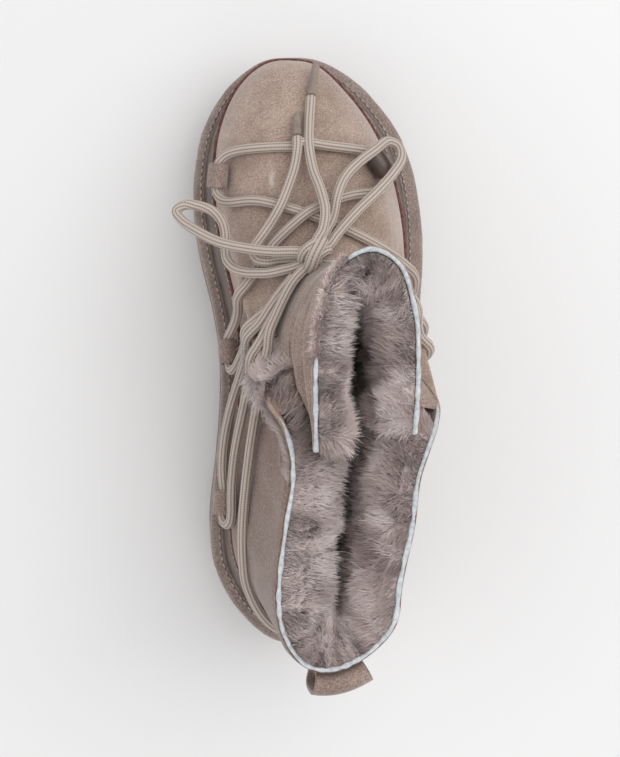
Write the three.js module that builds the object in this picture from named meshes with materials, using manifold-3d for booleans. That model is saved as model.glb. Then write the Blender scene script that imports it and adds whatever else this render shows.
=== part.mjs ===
import * as THREE from 'three';
import { mergeVertices } from 'three/addons/utils/BufferGeometryUtils.js';
import Module from 'manifold-3d';

// Right sheepskin boot, millimetres, +Z up, toe towards +Y, lateral side towards +X.
// The origin is on the floor under the middle of the sole.

const wasm = await Module();
wasm.setup();

// Sole
const SOLE_LENGTH = 280;
const BALL_WIDTH = 111;
const HEEL_WIDTH = 84;
const HEEL_STACK = 46;
const FORE_STACK = 36;
const OUTSOLE_THICK = 12;
const TOE_SPRING = 6;
const TOE_LIFT = 7.5;
const ARCH_LIFT = 2.5;
const CORNER_POWER = 0.75;

// Upper
const SUEDE = 2.2;
const RAND_HEIGHT = 17;
const RAND_THICK = 1.6;
const SEAM = 0.2;
const RAND_BULGE = 0.18;
const COLLAR_BACK = -135;
const THROAT_FRONT = 36;
const COLLAR_RISE = 104;
const FLANGE = 8;
const WALL_RISE = 26;
const VAMP_RUN = 40;
const TOP_DROP = 30;

// Tongue
const TONGUE_RISE = 119;
const TONGUE_SINK = 20;
const TONGUE_INSET = 15;
const TONGUE_BULGE = 3;

// Fleece
const FLEECE = 12;
const TONGUE_FLEECE = 7.4;
const LOCK_RISE = 3;
const RIM_THINNER = 0.35;
const FOOTBED = 7;
const FOOTBED_PLAY = 1;
const FOOTBED_ROLL = 4;

// Lace and its keepers
const LACE = 4.6;
const TAB_THICK = 1.6;
const TAB_WIDTH = 11;
const AGLET = 3.9;
const AGLET_LONG = 18;
const AGLET_SHORT = 13;

// Gaps
const GAP = 0.3;
const TAB_GAP = 0.8;
const KEEPER_PLAY = 0.8;
const KEEPER_RUN = 0.6;

// Columns round the boot, and the one where the collar fleece starts
const AROUND = 48;
const FLEECE_START = 11;

/** Short table: each named column holds shares of the size given with its name. */
function table(columns, rows) {
  return { columns: Object.entries(columns), rows };
}

const OUTLINE = table({ at: 1, centre: BALL_WIDTH, ball: BALL_WIDTH, heel: HEEL_WIDTH }, [
  [0.00, -0.027, 0.000, 0.524],
  [0.06, -0.018, 0.000, 0.619],
  [0.12, -0.018, 0.000, 0.646],
  [0.20, -0.007, 0.000, 0.614],
  [0.30, 0.023, 0.200, 0.301],
  [0.42, 0.056, 0.330, 0.112],
  [0.50, 0.069, 0.427, 0.000],
  [0.58, 0.063, 0.459, 0.000],
  [0.66, 0.044, 0.505, 0.000],
  [0.74, 0.024, 0.545, 0.000],
  [0.82, 0.007, 0.572, 0.000],
  [0.88, -0.008, 0.577, 0.000],
  [0.94, -0.027, 0.545, 0.000],
  [1.00, -0.045, 0.477, 0.000],
]);

// welt: ledge left outside the upper; lean: how far the rand leans in;
// rise and inward: how the wall leaves the seam; forward and drop: how it meets the top line
const WALL = table({
  round: 1, welt: FLANGE, lean: FLANGE, rise: WALL_RISE, inward: FLANGE, forward: VAMP_RUN, drop: TOP_DROP,
}, [
  [0.00, 0.688, 0.000, 0.923, 0.125, 1.000, 0.467],
  [0.07, 0.750, 0.625, 0.846, 0.375, 0.925, 0.467],
  [0.13, 0.875, 0.812, 0.846, 0.500, 0.750, 0.500],
  [0.20, 1.000, 0.438, 0.846, 0.625, 0.400, 0.733],
  [0.30, 0.875, 0.375, 0.769, 0.375, 0.150, 0.867],
  [0.42, 0.750, 0.500, 0.923, 0.000, 0.000, 1.000],
  [0.50, 0.750, 0.500, 1.000, -0.250, 0.000, 1.000],
  [0.58, 0.750, 0.750, 0.923, 0.125, 0.000, 1.000],
  [0.70, 0.688, 0.375, 0.769, 0.500, 0.150, 0.867],
  [0.80, 0.662, 0.688, 0.846, 0.625, 0.400, 0.733],
  [0.88, 0.600, 0.438, 0.885, 0.500, 0.700, 0.533],
  [0.94, 0.562, 0.062, 0.923, 0.375, 0.925, 0.467],
]);

const TOP_LINE = table({ at: 1, centre: BALL_WIDTH, half: BALL_WIDTH, rise: COLLAR_RISE }, [
  [0.00, 0.018, 0.360, 1.000],
  [0.10, 0.057, 0.351, 1.000],
  [0.20, 0.066, 0.295, 0.990],
  [0.36, 0.109, 0.259, 0.957],
  [0.47, 0.137, 0.250, 0.913],
  [0.53, 0.153, 0.270, 0.880],
  [0.59, 0.158, 0.306, 0.841],
  [0.65, 0.135, 0.351, 0.788],
  [0.71, 0.113, 0.333, 0.673],
  [0.76, 0.099, 0.333, 0.582],
  [0.84, 0.104, 0.356, 0.553],
  [0.93, 0.099, 0.378, 0.553],
  [1.00, 0.072, 0.387, 0.562],
]);

// Top edge of the tongue, from its medial end round the front to its lateral end
const TONGUE_EDGE = table({ along: 1, x: BALL_WIDTH, y: SOLE_LENGTH, rise: TONGUE_RISE }, [
  [0.00, -0.032, -0.155, 0.857],
  [0.12, -0.036, -0.086, 0.891],
  [0.24, -0.036, -0.021, 0.924],
  [0.34, -0.014, 0.050, 0.958],
  [0.42, 0.036, 0.111, 0.983],
  [0.50, 0.167, 0.141, 1.000],
  [0.58, 0.288, 0.116, 0.992],
  [0.66, 0.347, 0.054, 0.958],
  [0.78, 0.366, -0.021, 0.924],
  [0.90, 0.367, -0.086, 0.891],
  [1.00, 0.362, -0.129, 0.866],
]);

// Where the tongue leaves the throat: share round the boot, depth below the top line and bulge
const TONGUE_ROOT = table({ along: 1, round: 1, sink: TONGUE_SINK, inset: TONGUE_INSET, bulge: TONGUE_BULGE }, [
  [0.00, -0.245, 1.000, 1.000, 0.000],
  [0.12, -0.210, 0.750, 0.853, 0.000],
  [0.24, -0.172, 0.450, 0.427, 0.667],
  [0.34, -0.120, 0.400, 0.253, 1.000],
  [0.42, -0.070, 0.400, 0.240, 0.333],
  [0.50, 0.000, 0.400, 0.240, 0.000],
  [0.58, 0.070, 0.400, 0.240, 0.000],
  [0.66, 0.125, 0.400, 0.307, 0.333],
  [0.78, 0.172, 0.450, 0.427, 0.333],
  [0.90, 0.210, 0.750, 1.027, 0.000],
  [1.00, 0.235, 1.000, 0.967, 0.000],
]);

// Thickness of the collar fleece round the boot; it is thin where the tongue passes
const COLLAR_FLEECE = table({ round: 1, depth: FLEECE }, [
  [0.21, 0.22],
  [0.26, 0.30],
  [0.31, 0.80],
  [0.40, 1.00],
  [0.60, 1.00],
  [0.69, 0.80],
  [0.74, 0.25],
  [0.79, 0.15],
]);

/** Smooth value of every column of a table at x; a period makes the table run round. */
function look(source, x, period = 0) {
  const rows = source.rows.map((row) => row.slice());
  let at = x;
  if (period > 0) {
    at = ((x % period) + period) % period;
    const last = rows.slice(-2).map((row) => [row[0] - period, ...row.slice(1)]);
    const first = rows.slice(0, 2).map((row) => [row[0] + period, ...row.slice(1)]);
    rows.unshift(...last);
    rows.push(...first);
  }
  let i = 0;
  while (i < rows.length - 2 && at >= rows[i + 1][0]) i += 1;
  const span = rows[i + 1][0] - rows[i][0];
  const s = (at - rows[i][0]) / span;
  const slope = (a, b, c) => (rows[b][c] - rows[a][c]) / (rows[b][0] - rows[a][0]);
  const tangent = (n, c) => {
    if (n === 0) return slope(0, 1, c);
    if (n === rows.length - 1) return slope(n - 1, n, c);
    const before = rows[n][0] - rows[n - 1][0];
    const after = rows[n + 1][0] - rows[n][0];
    return (slope(n - 1, n, c) * after + slope(n, n + 1, c) * before) / (before + after);
  };
  const found = {};
  source.columns.forEach(([name, size], c) => {
    if (c === 0) return;
    const h00 = 2 * s ** 3 - 3 * s ** 2 + 1;
    const h10 = s ** 3 - 2 * s ** 2 + s;
    const h01 = -2 * s ** 3 + 3 * s ** 2;
    const h11 = s ** 3 - s ** 2;
    const share = h00 * rows[i][c] + h10 * span * tangent(i, c)
      + h01 * rows[i + 1][c] + h11 * span * tangent(i + 1, c);
    found[name] = share * size;
  });
  return found;
}

/** Soft step from 0 at low to 1 at high. */
function soft(low, high, x) {
  return THREE.MathUtils.smoothstep(x, low, high);
}

/** Share of the sole's length, from the heel, at a share of the way round from the toe. */
function lengthShare(round) {
  return (1 + Math.cos(2 * Math.PI * round)) / 2;
}

/** Height of the platform's top face. */
function deckHeight(at) {
  return FORE_STACK + (HEEL_STACK - FORE_STACK) * (1 - soft(0.28, 0.64, at))
    + TOE_SPRING * soft(0.80, 1.0, at) ** 1.4;
}

/** Height of the tread: flat at heel and ball, lifted at the toe and under the arch. */
function treadHeight(at) {
  return TOE_LIFT * soft(0.78, 1.0, at) ** 1.6
    + ARCH_LIFT * soft(0.29, 0.34, at) * (1 - soft(0.37, 0.43, at));
}

/** Height where outsole and platform meet. */
function splitHeight(at) {
  return OUTSOLE_THICK + TOE_LIFT * soft(0.78, 1.0, at) ** 1.6;
}

/** Point on the sole's edge in plan. */
function edgePoint(round) {
  const angle = 2 * Math.PI * round;
  const at = lengthShare(round);
  const row = look(OUTLINE, at);
  const half = row.ball + row.heel;
  const side = Math.sin(angle);
  const x = row.centre + half * Math.sign(side) * Math.abs(side) ** CORNER_POWER;
  return new THREE.Vector2(x, (at - 0.5) * SOLE_LENGTH);
}

/** Outward normal of the sole's edge in plan. */
function edgeNormal(round) {
  const step = 0.002;
  const run = edgePoint(round + step).sub(edgePoint(round - step)).normalize();
  return new THREE.Vector2(-run.y, run.x);
}

/** Sole's edge moved in by inset, at height z. */
function soleLine(round, inset, z) {
  const p = edgePoint(round).addScaledVector(edgeNormal(round), -inset);
  return new THREE.Vector3(p.x, p.y, z);
}

/** Top line of the upper: collar at the back, throat at the front. */
function topLine(round) {
  const at = lengthShare(round);
  const row = look(TOP_LINE, at);
  const x = row.centre + row.half * Math.sin(2 * Math.PI * round);
  return new THREE.Vector3(x, COLLAR_BACK + (THROAT_FRONT - COLLAR_BACK) * at, HEEL_STACK + row.rise);
}

/** Outer face of rand and upper: round the boot, and up from the platform to the top line. */
function upperFace(round, up) {
  const row = look(WALL, round, 1);
  const deck = deckHeight(lengthShare(round));
  const normal = edgeNormal(round);
  const base = soleLine(round, row.welt, deck + GAP);
  const seam = soleLine(round, row.welt + row.lean, deck + RAND_HEIGHT);
  if (up < SEAM) {
    const r = Math.max(up / SEAM, 0);
    const bulge = Math.sin(Math.PI * r) * RAND_BULGE * row.lean;
    return base.lerp(seam, r).add(new THREE.Vector3(normal.x, normal.y, 0).multiplyScalar(bulge));
  }
  const top = topLine(round);
  const out = new THREE.Vector3(seam.x - top.x, seam.y - top.y, 0).normalize();
  const leave = seam.clone().add(new THREE.Vector3(-normal.x * row.inward, -normal.y * row.inward, row.rise));
  const meet = top.clone().addScaledVector(out, row.forward);
  meet.z -= row.drop;
  const s = (up - SEAM) / (1 - SEAM);
  return seam.multiplyScalar((1 - s) ** 3)
    .addScaledVector(leave, 3 * (1 - s) ** 2 * s)
    .addScaledVector(meet, 3 * (1 - s) * s ** 2)
    .addScaledVector(top, s ** 3);
}

/** Outward normal of the upper's face. */
function upperNormal(round, up) {
  const step = 0.004;
  const low = Math.min(Math.max(up - step, 0), 1 - 2 * step);
  const along = upperFace(round + step, up).sub(upperFace(round - step, up));
  const rise = upperFace(round, low + 2 * step).sub(upperFace(round, low));
  return rise.cross(along).normalize();
}

/** Point at a distance outside (or, if negative, inside) the upper's face. */
function upperPoint(round, up, lift) {
  return upperFace(round, up).addScaledVector(upperNormal(round, up), lift);
}

/** Indexed geometry from a list of points and faces. */
function geometryFrom(points, faces) {
  const geometry = new THREE.BufferGeometry().setFromPoints(points);
  geometry.setIndex(faces.flat());
  return geometry;
}

/** Turns the faces round if they enclose a negative volume. */
function outward(points, faces) {
  let volume = 0;
  for (const [a, b, c] of faces) {
    volume += points[a].dot(points[b].clone().cross(points[c]));
  }
  return volume < 0 ? faces.map(([a, b, c]) => [a, c, b]) : faces;
}

/** Closed body between two grids of the same size; loop joins the last column to the first. */
function shell(outer, inner, loop) {
  const columns = outer.length;
  const rows = outer[0].length;
  const points = [...outer.flat(), ...inner.flat()];
  const faces = [];
  const o = (c, r) => (c % columns) * rows + r;
  const n = (c, r) => columns * rows + (c % columns) * rows + r;
  const last = loop ? columns : columns - 1;
  const quad = (a, b, c, d) => faces.push([a, b, c], [a, c, d]);
  for (let c = 0; c < last; c += 1) {
    for (let r = 0; r < rows - 1; r += 1) {
      quad(o(c, r), o(c + 1, r), o(c + 1, r + 1), o(c, r + 1));
      quad(n(c, r), n(c, r + 1), n(c + 1, r + 1), n(c + 1, r));
    }
    quad(o(c, 0), n(c, 0), n(c + 1, 0), o(c + 1, 0));
    quad(o(c, rows - 1), o(c + 1, rows - 1), n(c + 1, rows - 1), n(c, rows - 1));
  }
  if (!loop) {
    for (let r = 0; r < rows - 1; r += 1) {
      quad(o(0, r), o(0, r + 1), n(0, r + 1), n(0, r));
      quad(o(columns - 1, r), n(columns - 1, r), n(columns - 1, r + 1), o(columns - 1, r + 1));
    }
  }
  return geometryFrom(points, outward(points, faces));
}

/** Closed body from stacked rings of AROUND points; end faces are ladders across the boot. */
function slab(rings) {
  const points = rings.flat();
  const faces = [];
  const id = (ring, c) => ring * AROUND + (c % AROUND);
  for (let ring = 0; ring < rings.length - 1; ring += 1) {
    for (let c = 0; c < AROUND; c += 1) {
      faces.push([id(ring, c), id(ring, c + 1), id(ring + 1, c + 1)]);
      faces.push([id(ring, c), id(ring + 1, c + 1), id(ring + 1, c)]);
    }
  }
  const ladder = (ring, flip) => {
    for (let c = 0; c < AROUND / 2; c += 1) {
      const a = id(ring, c);
      const b = id(ring, c + 1);
      const d = id(ring, AROUND - c);
      const e = id(ring, AROUND - c - 1);
      const rungs = c === 0 ? [[a, b, e]] : c === AROUND / 2 - 1 ? [[a, b, d]] : [[a, b, e], [a, e, d]];
      rungs.forEach(([p, q, r]) => faces.push(flip ? [p, r, q] : [p, q, r]));
    }
  };
  ladder(0, true);
  ladder(rings.length - 1, false);
  return geometryFrom(points, outward(points, faces));
}

/** Ring round the sole: inset and height are functions of the share round the boot. */
function ring(inset, height) {
  const points = [];
  for (let c = 0; c < AROUND; c += 1) {
    const round = c / AROUND;
    points.push(soleLine(round, inset(round), height(lengthShare(round))));
  }
  return points;
}

/** Solid for cutting and joining, from a geometry. */
function solid(geometry) {
  const bare = geometry.clone();
  bare.deleteAttribute('normal');
  bare.deleteAttribute('uv');
  const merged = mergeVertices(bare, 1e-4);
  return new wasm.Manifold(new wasm.Mesh({
    numProp: 3,
    vertProperties: new Float32Array(merged.attributes.position.array),
    triVerts: new Uint32Array(merged.index.array),
  }));
}

/** Geometry of a solid. */
function geometryOf(body) {
  const mesh = body.getMesh();
  const geometry = new THREE.BufferGeometry();
  geometry.setAttribute('position', new THREE.BufferAttribute(new Float32Array(mesh.vertProperties), 3));
  geometry.setIndex(Array.from(mesh.triVerts));
  return geometry;
}

/** Round cord of constant width along a smooth path through the points. */
function cord(points, width, steps, sides = 8) {
  const shape = new THREE.Shape();
  shape.absarc(0, 0, width / 2, 0, 2 * Math.PI);
  const round = new THREE.Shape(shape.getPoints(sides).slice(0, sides));
  const extrudePath = new THREE.CatmullRomCurve3(points, false, 'centripetal');
  return new THREE.ExtrudeGeometry(round, { steps, extrudePath, bevelEnabled: false });
}

/** Same constant for every place round the boot. */
function constant(value) {
  return () => value;
}

// Sole: a rubber outsole with lugs under a platform wrapped in suede
const GROOVES = [0.08, 0.14, 0.20, 0.26, 0.53, 0.60, 0.67, 0.74, 0.81, 0.88];
const GROOVE_WIDTH = 3.5;
const GROOVE_DEPTH = 3.2;
const GROOVE_POINT = 5;
const TREAD_BEVEL = 2;
const SIDE_RIB = 1;
const GROOVE_REACH = BALL_WIDTH * 0.7;
const EDGE_ROUND = 2;
const TUCK = 1.6;
const SWELL = 0.4;
const SWELL_DROP = 10;

function makeOutsole() {
  const up = (share) => (at) => treadHeight(at) + (splitHeight(at) - treadHeight(at)) * share;
  const body = slab([
    ring(constant(TREAD_BEVEL), treadHeight),
    ring(constant(SWELL), up(0.16)),
    ring(constant(0), up(0.42)),
    ring(constant(SIDE_RIB), up(0.50)),
    ring(constant(0), up(0.58)),
    ring(constant(SIDE_RIB), splitHeight),
  ]);
  // Chevron grooves across heel and ball leave the lugs standing
  let cut = solid(body);
  for (const at of GROOVES) {
    const y = (at - 0.5) * SOLE_LENGTH;
    const shape = new THREE.Shape([
      new THREE.Vector2(-GROOVE_REACH, y - GROOVE_POINT),
      new THREE.Vector2(0, y + GROOVE_POINT),
      new THREE.Vector2(GROOVE_REACH, y - GROOVE_POINT),
      new THREE.Vector2(GROOVE_REACH, y - GROOVE_POINT + GROOVE_WIDTH),
      new THREE.Vector2(0, y + GROOVE_POINT + GROOVE_WIDTH),
      new THREE.Vector2(-GROOVE_REACH, y - GROOVE_POINT + GROOVE_WIDTH),
    ]);
    const depth = OUTSOLE_THICK + GROOVE_DEPTH;
    const groove = new THREE.ExtrudeGeometry(shape, { depth, bevelEnabled: false });
    groove.translate(0, 0, treadHeight(at) - OUTSOLE_THICK);
    cut = cut.subtract(solid(groove));
  }
  return geometryOf(cut);
}

function makePlatform() {
  const above = (rise) => (at) => splitHeight(at) + rise;
  const below = (drop) => (at) => deckHeight(at) - drop;
  return slab([
    ring(constant(TUCK), above(GAP)),
    ring(constant(TUCK / 2), above(GAP + TUCK / 2)),
    ring(constant(SWELL), below(SWELL_DROP)),
    ring(constant(0), below(EDGE_ROUND * 1.5)),
    ring(constant(EDGE_ROUND * 0.35), below(EDGE_ROUND * 0.35)),
    ring(constant(EDGE_ROUND), below(0)),
  ]);
}

// Everything inside the upper keeps clear of its inner face by this much at the base
function insideBase(round) {
  const row = look(WALL, round, 1);
  return row.welt + RAND_THICK + SUEDE + 2 * GAP;
}

function makeInsole() {
  const rise = (share) => (at) => deckHeight(at) + GAP + FOOTBED * share;
  const inset = (extra) => (round) => insideBase(round) + FOOTBED_PLAY + extra;
  return slab([
    ring(inset(FOOTBED_ROLL * 0.15), rise(0)),
    ring(inset(0), rise(0.25)),
    ring(inset(FOOTBED_ROLL * 0.1), rise(0.8)),
    ring(inset(FOOTBED_ROLL), rise(1)),
    ring(inset(FOOTBED_ROLL * 3.5), rise(0.82)),
  ]);
}

/** Grid of points over shares round the boot and shares up. */
function grid(rounds, ups, place) {
  return rounds.map((round) => ups.map((up) => place(round, up)));
}

function spread(from, to, count) {
  return Array.from({ length: count }, (_, i) => from + (to - from) * i / (count - 1));
}

const allRound = spread(0, 1, AROUND + 1).slice(0, AROUND);

/** How far the upper's own outer face lies inside, to make room for the rand. */
function randStep(up) {
  return up < SEAM ? RAND_THICK + GAP : 0;
}

// Rows up the wall, shared by everything that lies along it
const RAND_ROWS = [0, 0.1, 0.188];
const WALL_ROWS = [0.203, 0.30];
const COLLAR_ROWS = [0.42, 0.52, 0.62, 0.72, 0.82, 0.92, 1];

function makeUpper() {
  const ups = [...RAND_ROWS, ...WALL_ROWS, ...COLLAR_ROWS];
  const outer = grid(allRound, ups, (round, up) => upperPoint(round, up, -randStep(up)));
  const inner = grid(allRound, ups, (round, up) => {
    const extra = (RAND_THICK + GAP) * (1 - soft(0.12, 0.30, up));
    return upperPoint(round, up, -SUEDE - extra);
  });
  // The bottom rim is level with the platform
  outer.forEach((column, c) => {
    column[0].z = deckHeight(lengthShare(allRound[c])) + GAP;
    inner[c][0].z = column[0].z;
  });
  return shell(outer, inner, true);
}

function makeRand() {
  const ups = RAND_ROWS;
  const outer = grid(allRound, ups, (round, up) => upperPoint(round, up, 0));
  const inner = grid(allRound, ups, (round, up) => upperPoint(round, up, -RAND_THICK));
  outer.forEach((column, c) => {
    column[0].z = deckHeight(lengthShare(allRound[c])) + GAP;
    inner[c][0].z = column[0].z;
  });
  return shell(outer, inner, true);
}

/** Height of the fleece's locks: rows of rounded tufts, staggered, from 0 to 1. */
function lock(across, up) {
  const stagger = Math.round(up) % 2 === 0 ? 0 : Math.PI;
  return 0.5 + 0.5 * Math.cos(across * 2 * Math.PI + stagger) * Math.cos(up * 2 * Math.PI * 0.5);
}

function makeCollarFleece() {
  const rounds = allRound.slice(FLEECE_START, AROUND - FLEECE_START + 1);
  const ups = COLLAR_ROWS;
  const outer = grid(rounds, ups, (round, up) => upperPoint(round, up, -SUEDE - GAP));
  const inner = rounds.map((round, c) => ups.map((up, r) => {
    const pile = look(COLLAR_FLEECE, round).depth;
    const rim = 1 - RIM_THINNER * soft(0.93, 1, up);
    const depth = pile * rim + LOCK_RISE * Math.min(pile / FLEECE, 1) * lock(c / 2, r);
    return upperPoint(round, up, -SUEDE - GAP - depth);
  }));
  return shell(outer, inner, false);
}

/** Outer face of the tongue: along its edge, and up from the throat to its top edge. */
function tongueFace(along, up) {
  const edge = look(TONGUE_EDGE, along);
  const root = look(TONGUE_ROOT, along);
  const top = new THREE.Vector3(edge.x, edge.y, HEEL_STACK + edge.rise);
  const round = root.round;
  const start = topLine(round);
  const normal = topInward(round);
  const low = start.clone().addScaledVector(normal, root.inset);
  low.z -= root.sink;
  const reach = (top.z - low.z) * 0.36;
  const first = low.clone().addScaledVector(normal, -root.bulge);
  first.z += reach;
  const second = top.clone().addScaledVector(normal, -root.bulge * 0.5);
  second.z -= reach;
  return low.multiplyScalar((1 - up) ** 3)
    .addScaledVector(first, 3 * (1 - up) ** 2 * up)
    .addScaledVector(second, 3 * (1 - up) * up ** 2)
    .addScaledVector(top, up ** 3);
}

/** Inward direction of the top line in plan. */
function topInward(round) {
  const step = 0.003;
  const run = topLine(round + step).sub(topLine(round - step));
  return new THREE.Vector3(run.y, -run.x, 0).normalize();
}

function tonguePoint(along, up, lift) {
  const step = 0.004;
  const a = Math.min(Math.max(along, step), 1 - step);
  const u = Math.min(Math.max(up, step), 1 - step);
  const run = tongueFace(a + step, u).sub(tongueFace(a - step, u));
  const rise = tongueFace(a, u + step).sub(tongueFace(a, u - step));
  const normal = rise.cross(run).normalize();
  return tongueFace(along, up).addScaledVector(normal, lift);
}

// Columns and rows shared by the tongue and its fleece
const TONGUE_COLUMNS = spread(0, 1, 23);
const TONGUE_ROWS = spread(0, 1, 7);

function makeTongue() {
  const alongs = TONGUE_COLUMNS;
  const ups = TONGUE_ROWS;
  const outer = grid(alongs, ups, (along, up) => tonguePoint(along, up, 0));
  const inner = grid(alongs, ups, (along, up) => tonguePoint(along, up, -SUEDE));
  return shell(outer, inner, false);
}

function makeTongueFleece() {
  const alongs = TONGUE_COLUMNS.slice(1, -1);
  const ups = TONGUE_ROWS.slice(1);
  const outer = grid(alongs, ups, (along, up) => tonguePoint(along, up, -SUEDE - 2 * GAP));
  const inner = alongs.map((along, c) => ups.map((up, r) => {
    const depth = TONGUE_FLEECE + LOCK_RISE * lock(c / 2, r);
    return tonguePoint(along, up, -SUEDE - 2 * GAP - depth);
  }));
  return shell(outer, inner, false);
}

// Keepers: folded straps sewn in above the platform, named by side (medial or lateral)
const KEEPERS = {
  keeper_medial_front: { round: -0.135, up: 0.43, leg: 6.5 },
  keeper_medial_mid: { round: -0.2525, up: 0.17, leg: 5 },
  keeper_medial_rear: { round: -0.333, up: 0.27, leg: 8 },
  keeper_lateral_front: { round: 0.09, up: 0.58, leg: 7 },
  keeper_lateral_mid: { round: 0.2525, up: 0.17, leg: 5 },
  keeper_lateral_rear: { round: 0.333, up: 0.27, leg: 8 },
};
const KEEPER_HOLE = LACE / 2 + KEEPER_PLAY;

/** Place and directions of a keeper: along the lace, out of the upper and down to its seam. */
function keeperFrame({ round, up }) {
  const step = 0.004;
  const along = upperFace(round + step, up).sub(upperFace(round - step, up)).normalize();
  const out = upperNormal(round, up);
  const down = along.clone().cross(out).normalize();
  const foot = upperPoint(round, up, TAB_GAP);
  const centre = foot.clone().addScaledVector(out, TAB_THICK + KEEPER_HOLE);
  return { along, out, down, foot, centre };
}

/** Folded strap round the lace, with its two ends lying flat below it. */
function makeKeeper(spec) {
  const { along, out, down, foot } = keeperFrame(spec);
  const radius = KEEPER_HOLE + TAB_THICK;
  const flat = 2 * TAB_THICK;
  const bend = Math.asin((radius - flat) / radius);
  const shape = new THREE.Shape();
  shape.moveTo(spec.leg, 0);
  shape.lineTo(spec.leg, flat);
  shape.lineTo(radius * Math.cos(bend), flat);
  shape.absarc(0, radius, radius, -bend, 1.5 * Math.PI, false);
  shape.closePath();
  const hole = new THREE.Path();
  hole.absarc(0, radius, KEEPER_HOLE, 0, 2 * Math.PI);
  shape.holes.push(hole);
  const options = { depth: TAB_WIDTH, bevelEnabled: false, curveSegments: 5 };
  const geometry = new THREE.ExtrudeGeometry(shape, options);
  geometry.translate(0, 0, -TAB_WIDTH / 2);
  const width = down.clone().cross(out);
  geometry.applyMatrix4(new THREE.Matrix4().makeBasis(down, out, width).setPosition(foot));
  return geometry;
}

/** Three points straight through a keeper; way is 1 when the lace runs the way the columns count. */
function through(name, way) {
  const { along, centre } = keeperFrame(KEEPERS[name]);
  const reach = way * (TAB_WIDTH / 2 + KEEPER_RUN);
  const points = [-1, 0, 1].map((end) => centre.clone().addScaledVector(along, end * reach));
  return { points, lifts: points.map(() => null) };
}

/** Points of a lace route given as rows of share round, share up and lift off the upper. */
function overUpper(rows) {
  return { points: rows.map((row) => upperPoint(...row)), lifts: rows.map((row) => row[2]) };
}

/** Places all over the upper with their normals, close enough together to find the nearest one. */
function upperSamples() {
  const samples = [];
  for (let i = 0; i < SAMPLES_ROUND; i += 1) {
    for (let j = 0; j <= SAMPLES_UP; j += 1) {
      const [round, up] = [i / SAMPLES_ROUND, j / SAMPLES_UP];
      samples.push({ at: upperFace(round, up), normal: upperNormal(round, up) });
    }
  }
  return samples;
}

/** Joins a route's parts and pulls it tight, pass by pass, without sinking it into the upper. */
function pulled(...parts) {
  const points = parts.flatMap((part) => part.points);
  const lifts = parts.flatMap((part) => part.lifts);
  const held = lifts.map((lift, i) => [lifts[i - 1], lift, lifts[i + 1]].includes(null));
  const samples = upperSamples();
  for (let pass = 0; pass < TIGHT_PASSES; pass += 1) {
    const before = points.map((point) => point.clone());
    for (let i = 1; i < points.length - 1; i += 1) {
      if (held[i]) continue;
      const point = points[i].lerp(before[i - 1].clone().lerp(before[i + 1], 0.5), 0.5);
      const near = samples.reduce((best, sample) => {
        const gap = sample.at.distanceToSquared(point);
        return gap < best.gap ? { gap, sample } : best;
      }, { gap: Infinity });
      const lift = point.clone().sub(near.sample.at).dot(near.sample.normal);
      point.addScaledVector(near.sample.normal, Math.max(lifts[i] - lift, 0));
    }
  }
  return points;
}

const LOW = 3.2;
const OVER = 7.6;
const TIGHT_PASSES = 3;
const SAMPLES_ROUND = 144;
const SAMPLES_UP = 40;

// Throat, lateral side, then across the vamp to the medial front keeper and half the front bar
const ROUTE_LATERAL = () => pulled(
  overUpper([
    [-0.02, 0.995, LOW], [0.04, 0.995, LOW], [0.095, 0.97, LOW],
    [0.14, 0.90, 4.5], [0.166, 0.82, 5.2], [0.19, 0.72, 5], [0.218, 0.58, 4.2], [0.245, 0.44, LOW],
    [0.262, 0.33, LOW], [0.272, 0.25, 4.2], [0.271, 0.17, 5],
  ]),
  through('keeper_lateral_mid', -1),
  overUpper([
    [0.228, 0.26, LOW], [0.20, 0.45, 4], [0.18, 0.57, 4.4], [0.158, 0.68, 4], [0.11, 0.83, LOW],
    [0.061, 0.887, LOW], [0.014, 0.887, LOW], [-0.024, 0.849, LOW], [-0.066, 0.77, LOW],
    [-0.10, 0.66, LOW], [-0.1125, 0.628, LOW], [-0.13, 0.57, LOW], [-0.146, 0.488, 4.2], [-0.1525, 0.425, 4.2],
  ]),
  through('keeper_medial_front', 1),
  overUpper([
    [-0.1195, 0.43, 4.5], [-0.1065, 0.465, 4], [-0.0925, 0.52, LOW], [-0.0745, 0.578, LOW], [-0.0445, 0.638, LOW],
    [-0.01, 0.67, LOW],
  ]),
);

// Rest of the front bar, lateral front keeper, over the other strand and back along the medial side
const ROUTE_MEDIAL = () => pulled(
  overUpper([[-0.02, 0.665, LOW], [0.02, 0.66, LOW], [0.055, 0.62, 4]]),
  through('keeper_lateral_front', 1),
  overUpper([
    [0.085, 0.70, 4], [0.053, 0.753, LOW], [0.022, 0.815, 5], [-0.008, 0.845, OVER], [-0.034, 0.862, 5.5],
    [-0.061, 0.858, LOW], [-0.10, 0.83, LOW], [-0.153, 0.753, LOW], [-0.172, 0.67, 4], [-0.19, 0.58, LOW],
    [-0.22, 0.36, LOW], [-0.232, 0.21, 4],
  ]),
  through('keeper_medial_mid', -1),
  overUpper([
    [-0.271, 0.17, 5], [-0.272, 0.25, 4.2], [-0.262, 0.33, LOW], [-0.245, 0.44, LOW], [-0.218, 0.58, 4.8],
    [-0.203, 0.66, 5], [-0.19, 0.73, 4.4], [-0.135, 0.91, LOW], [-0.099, 0.962, LOW], [-0.06, 0.985, LOW], [-0.015, 0.995, LOW],
  ]),
);

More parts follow.
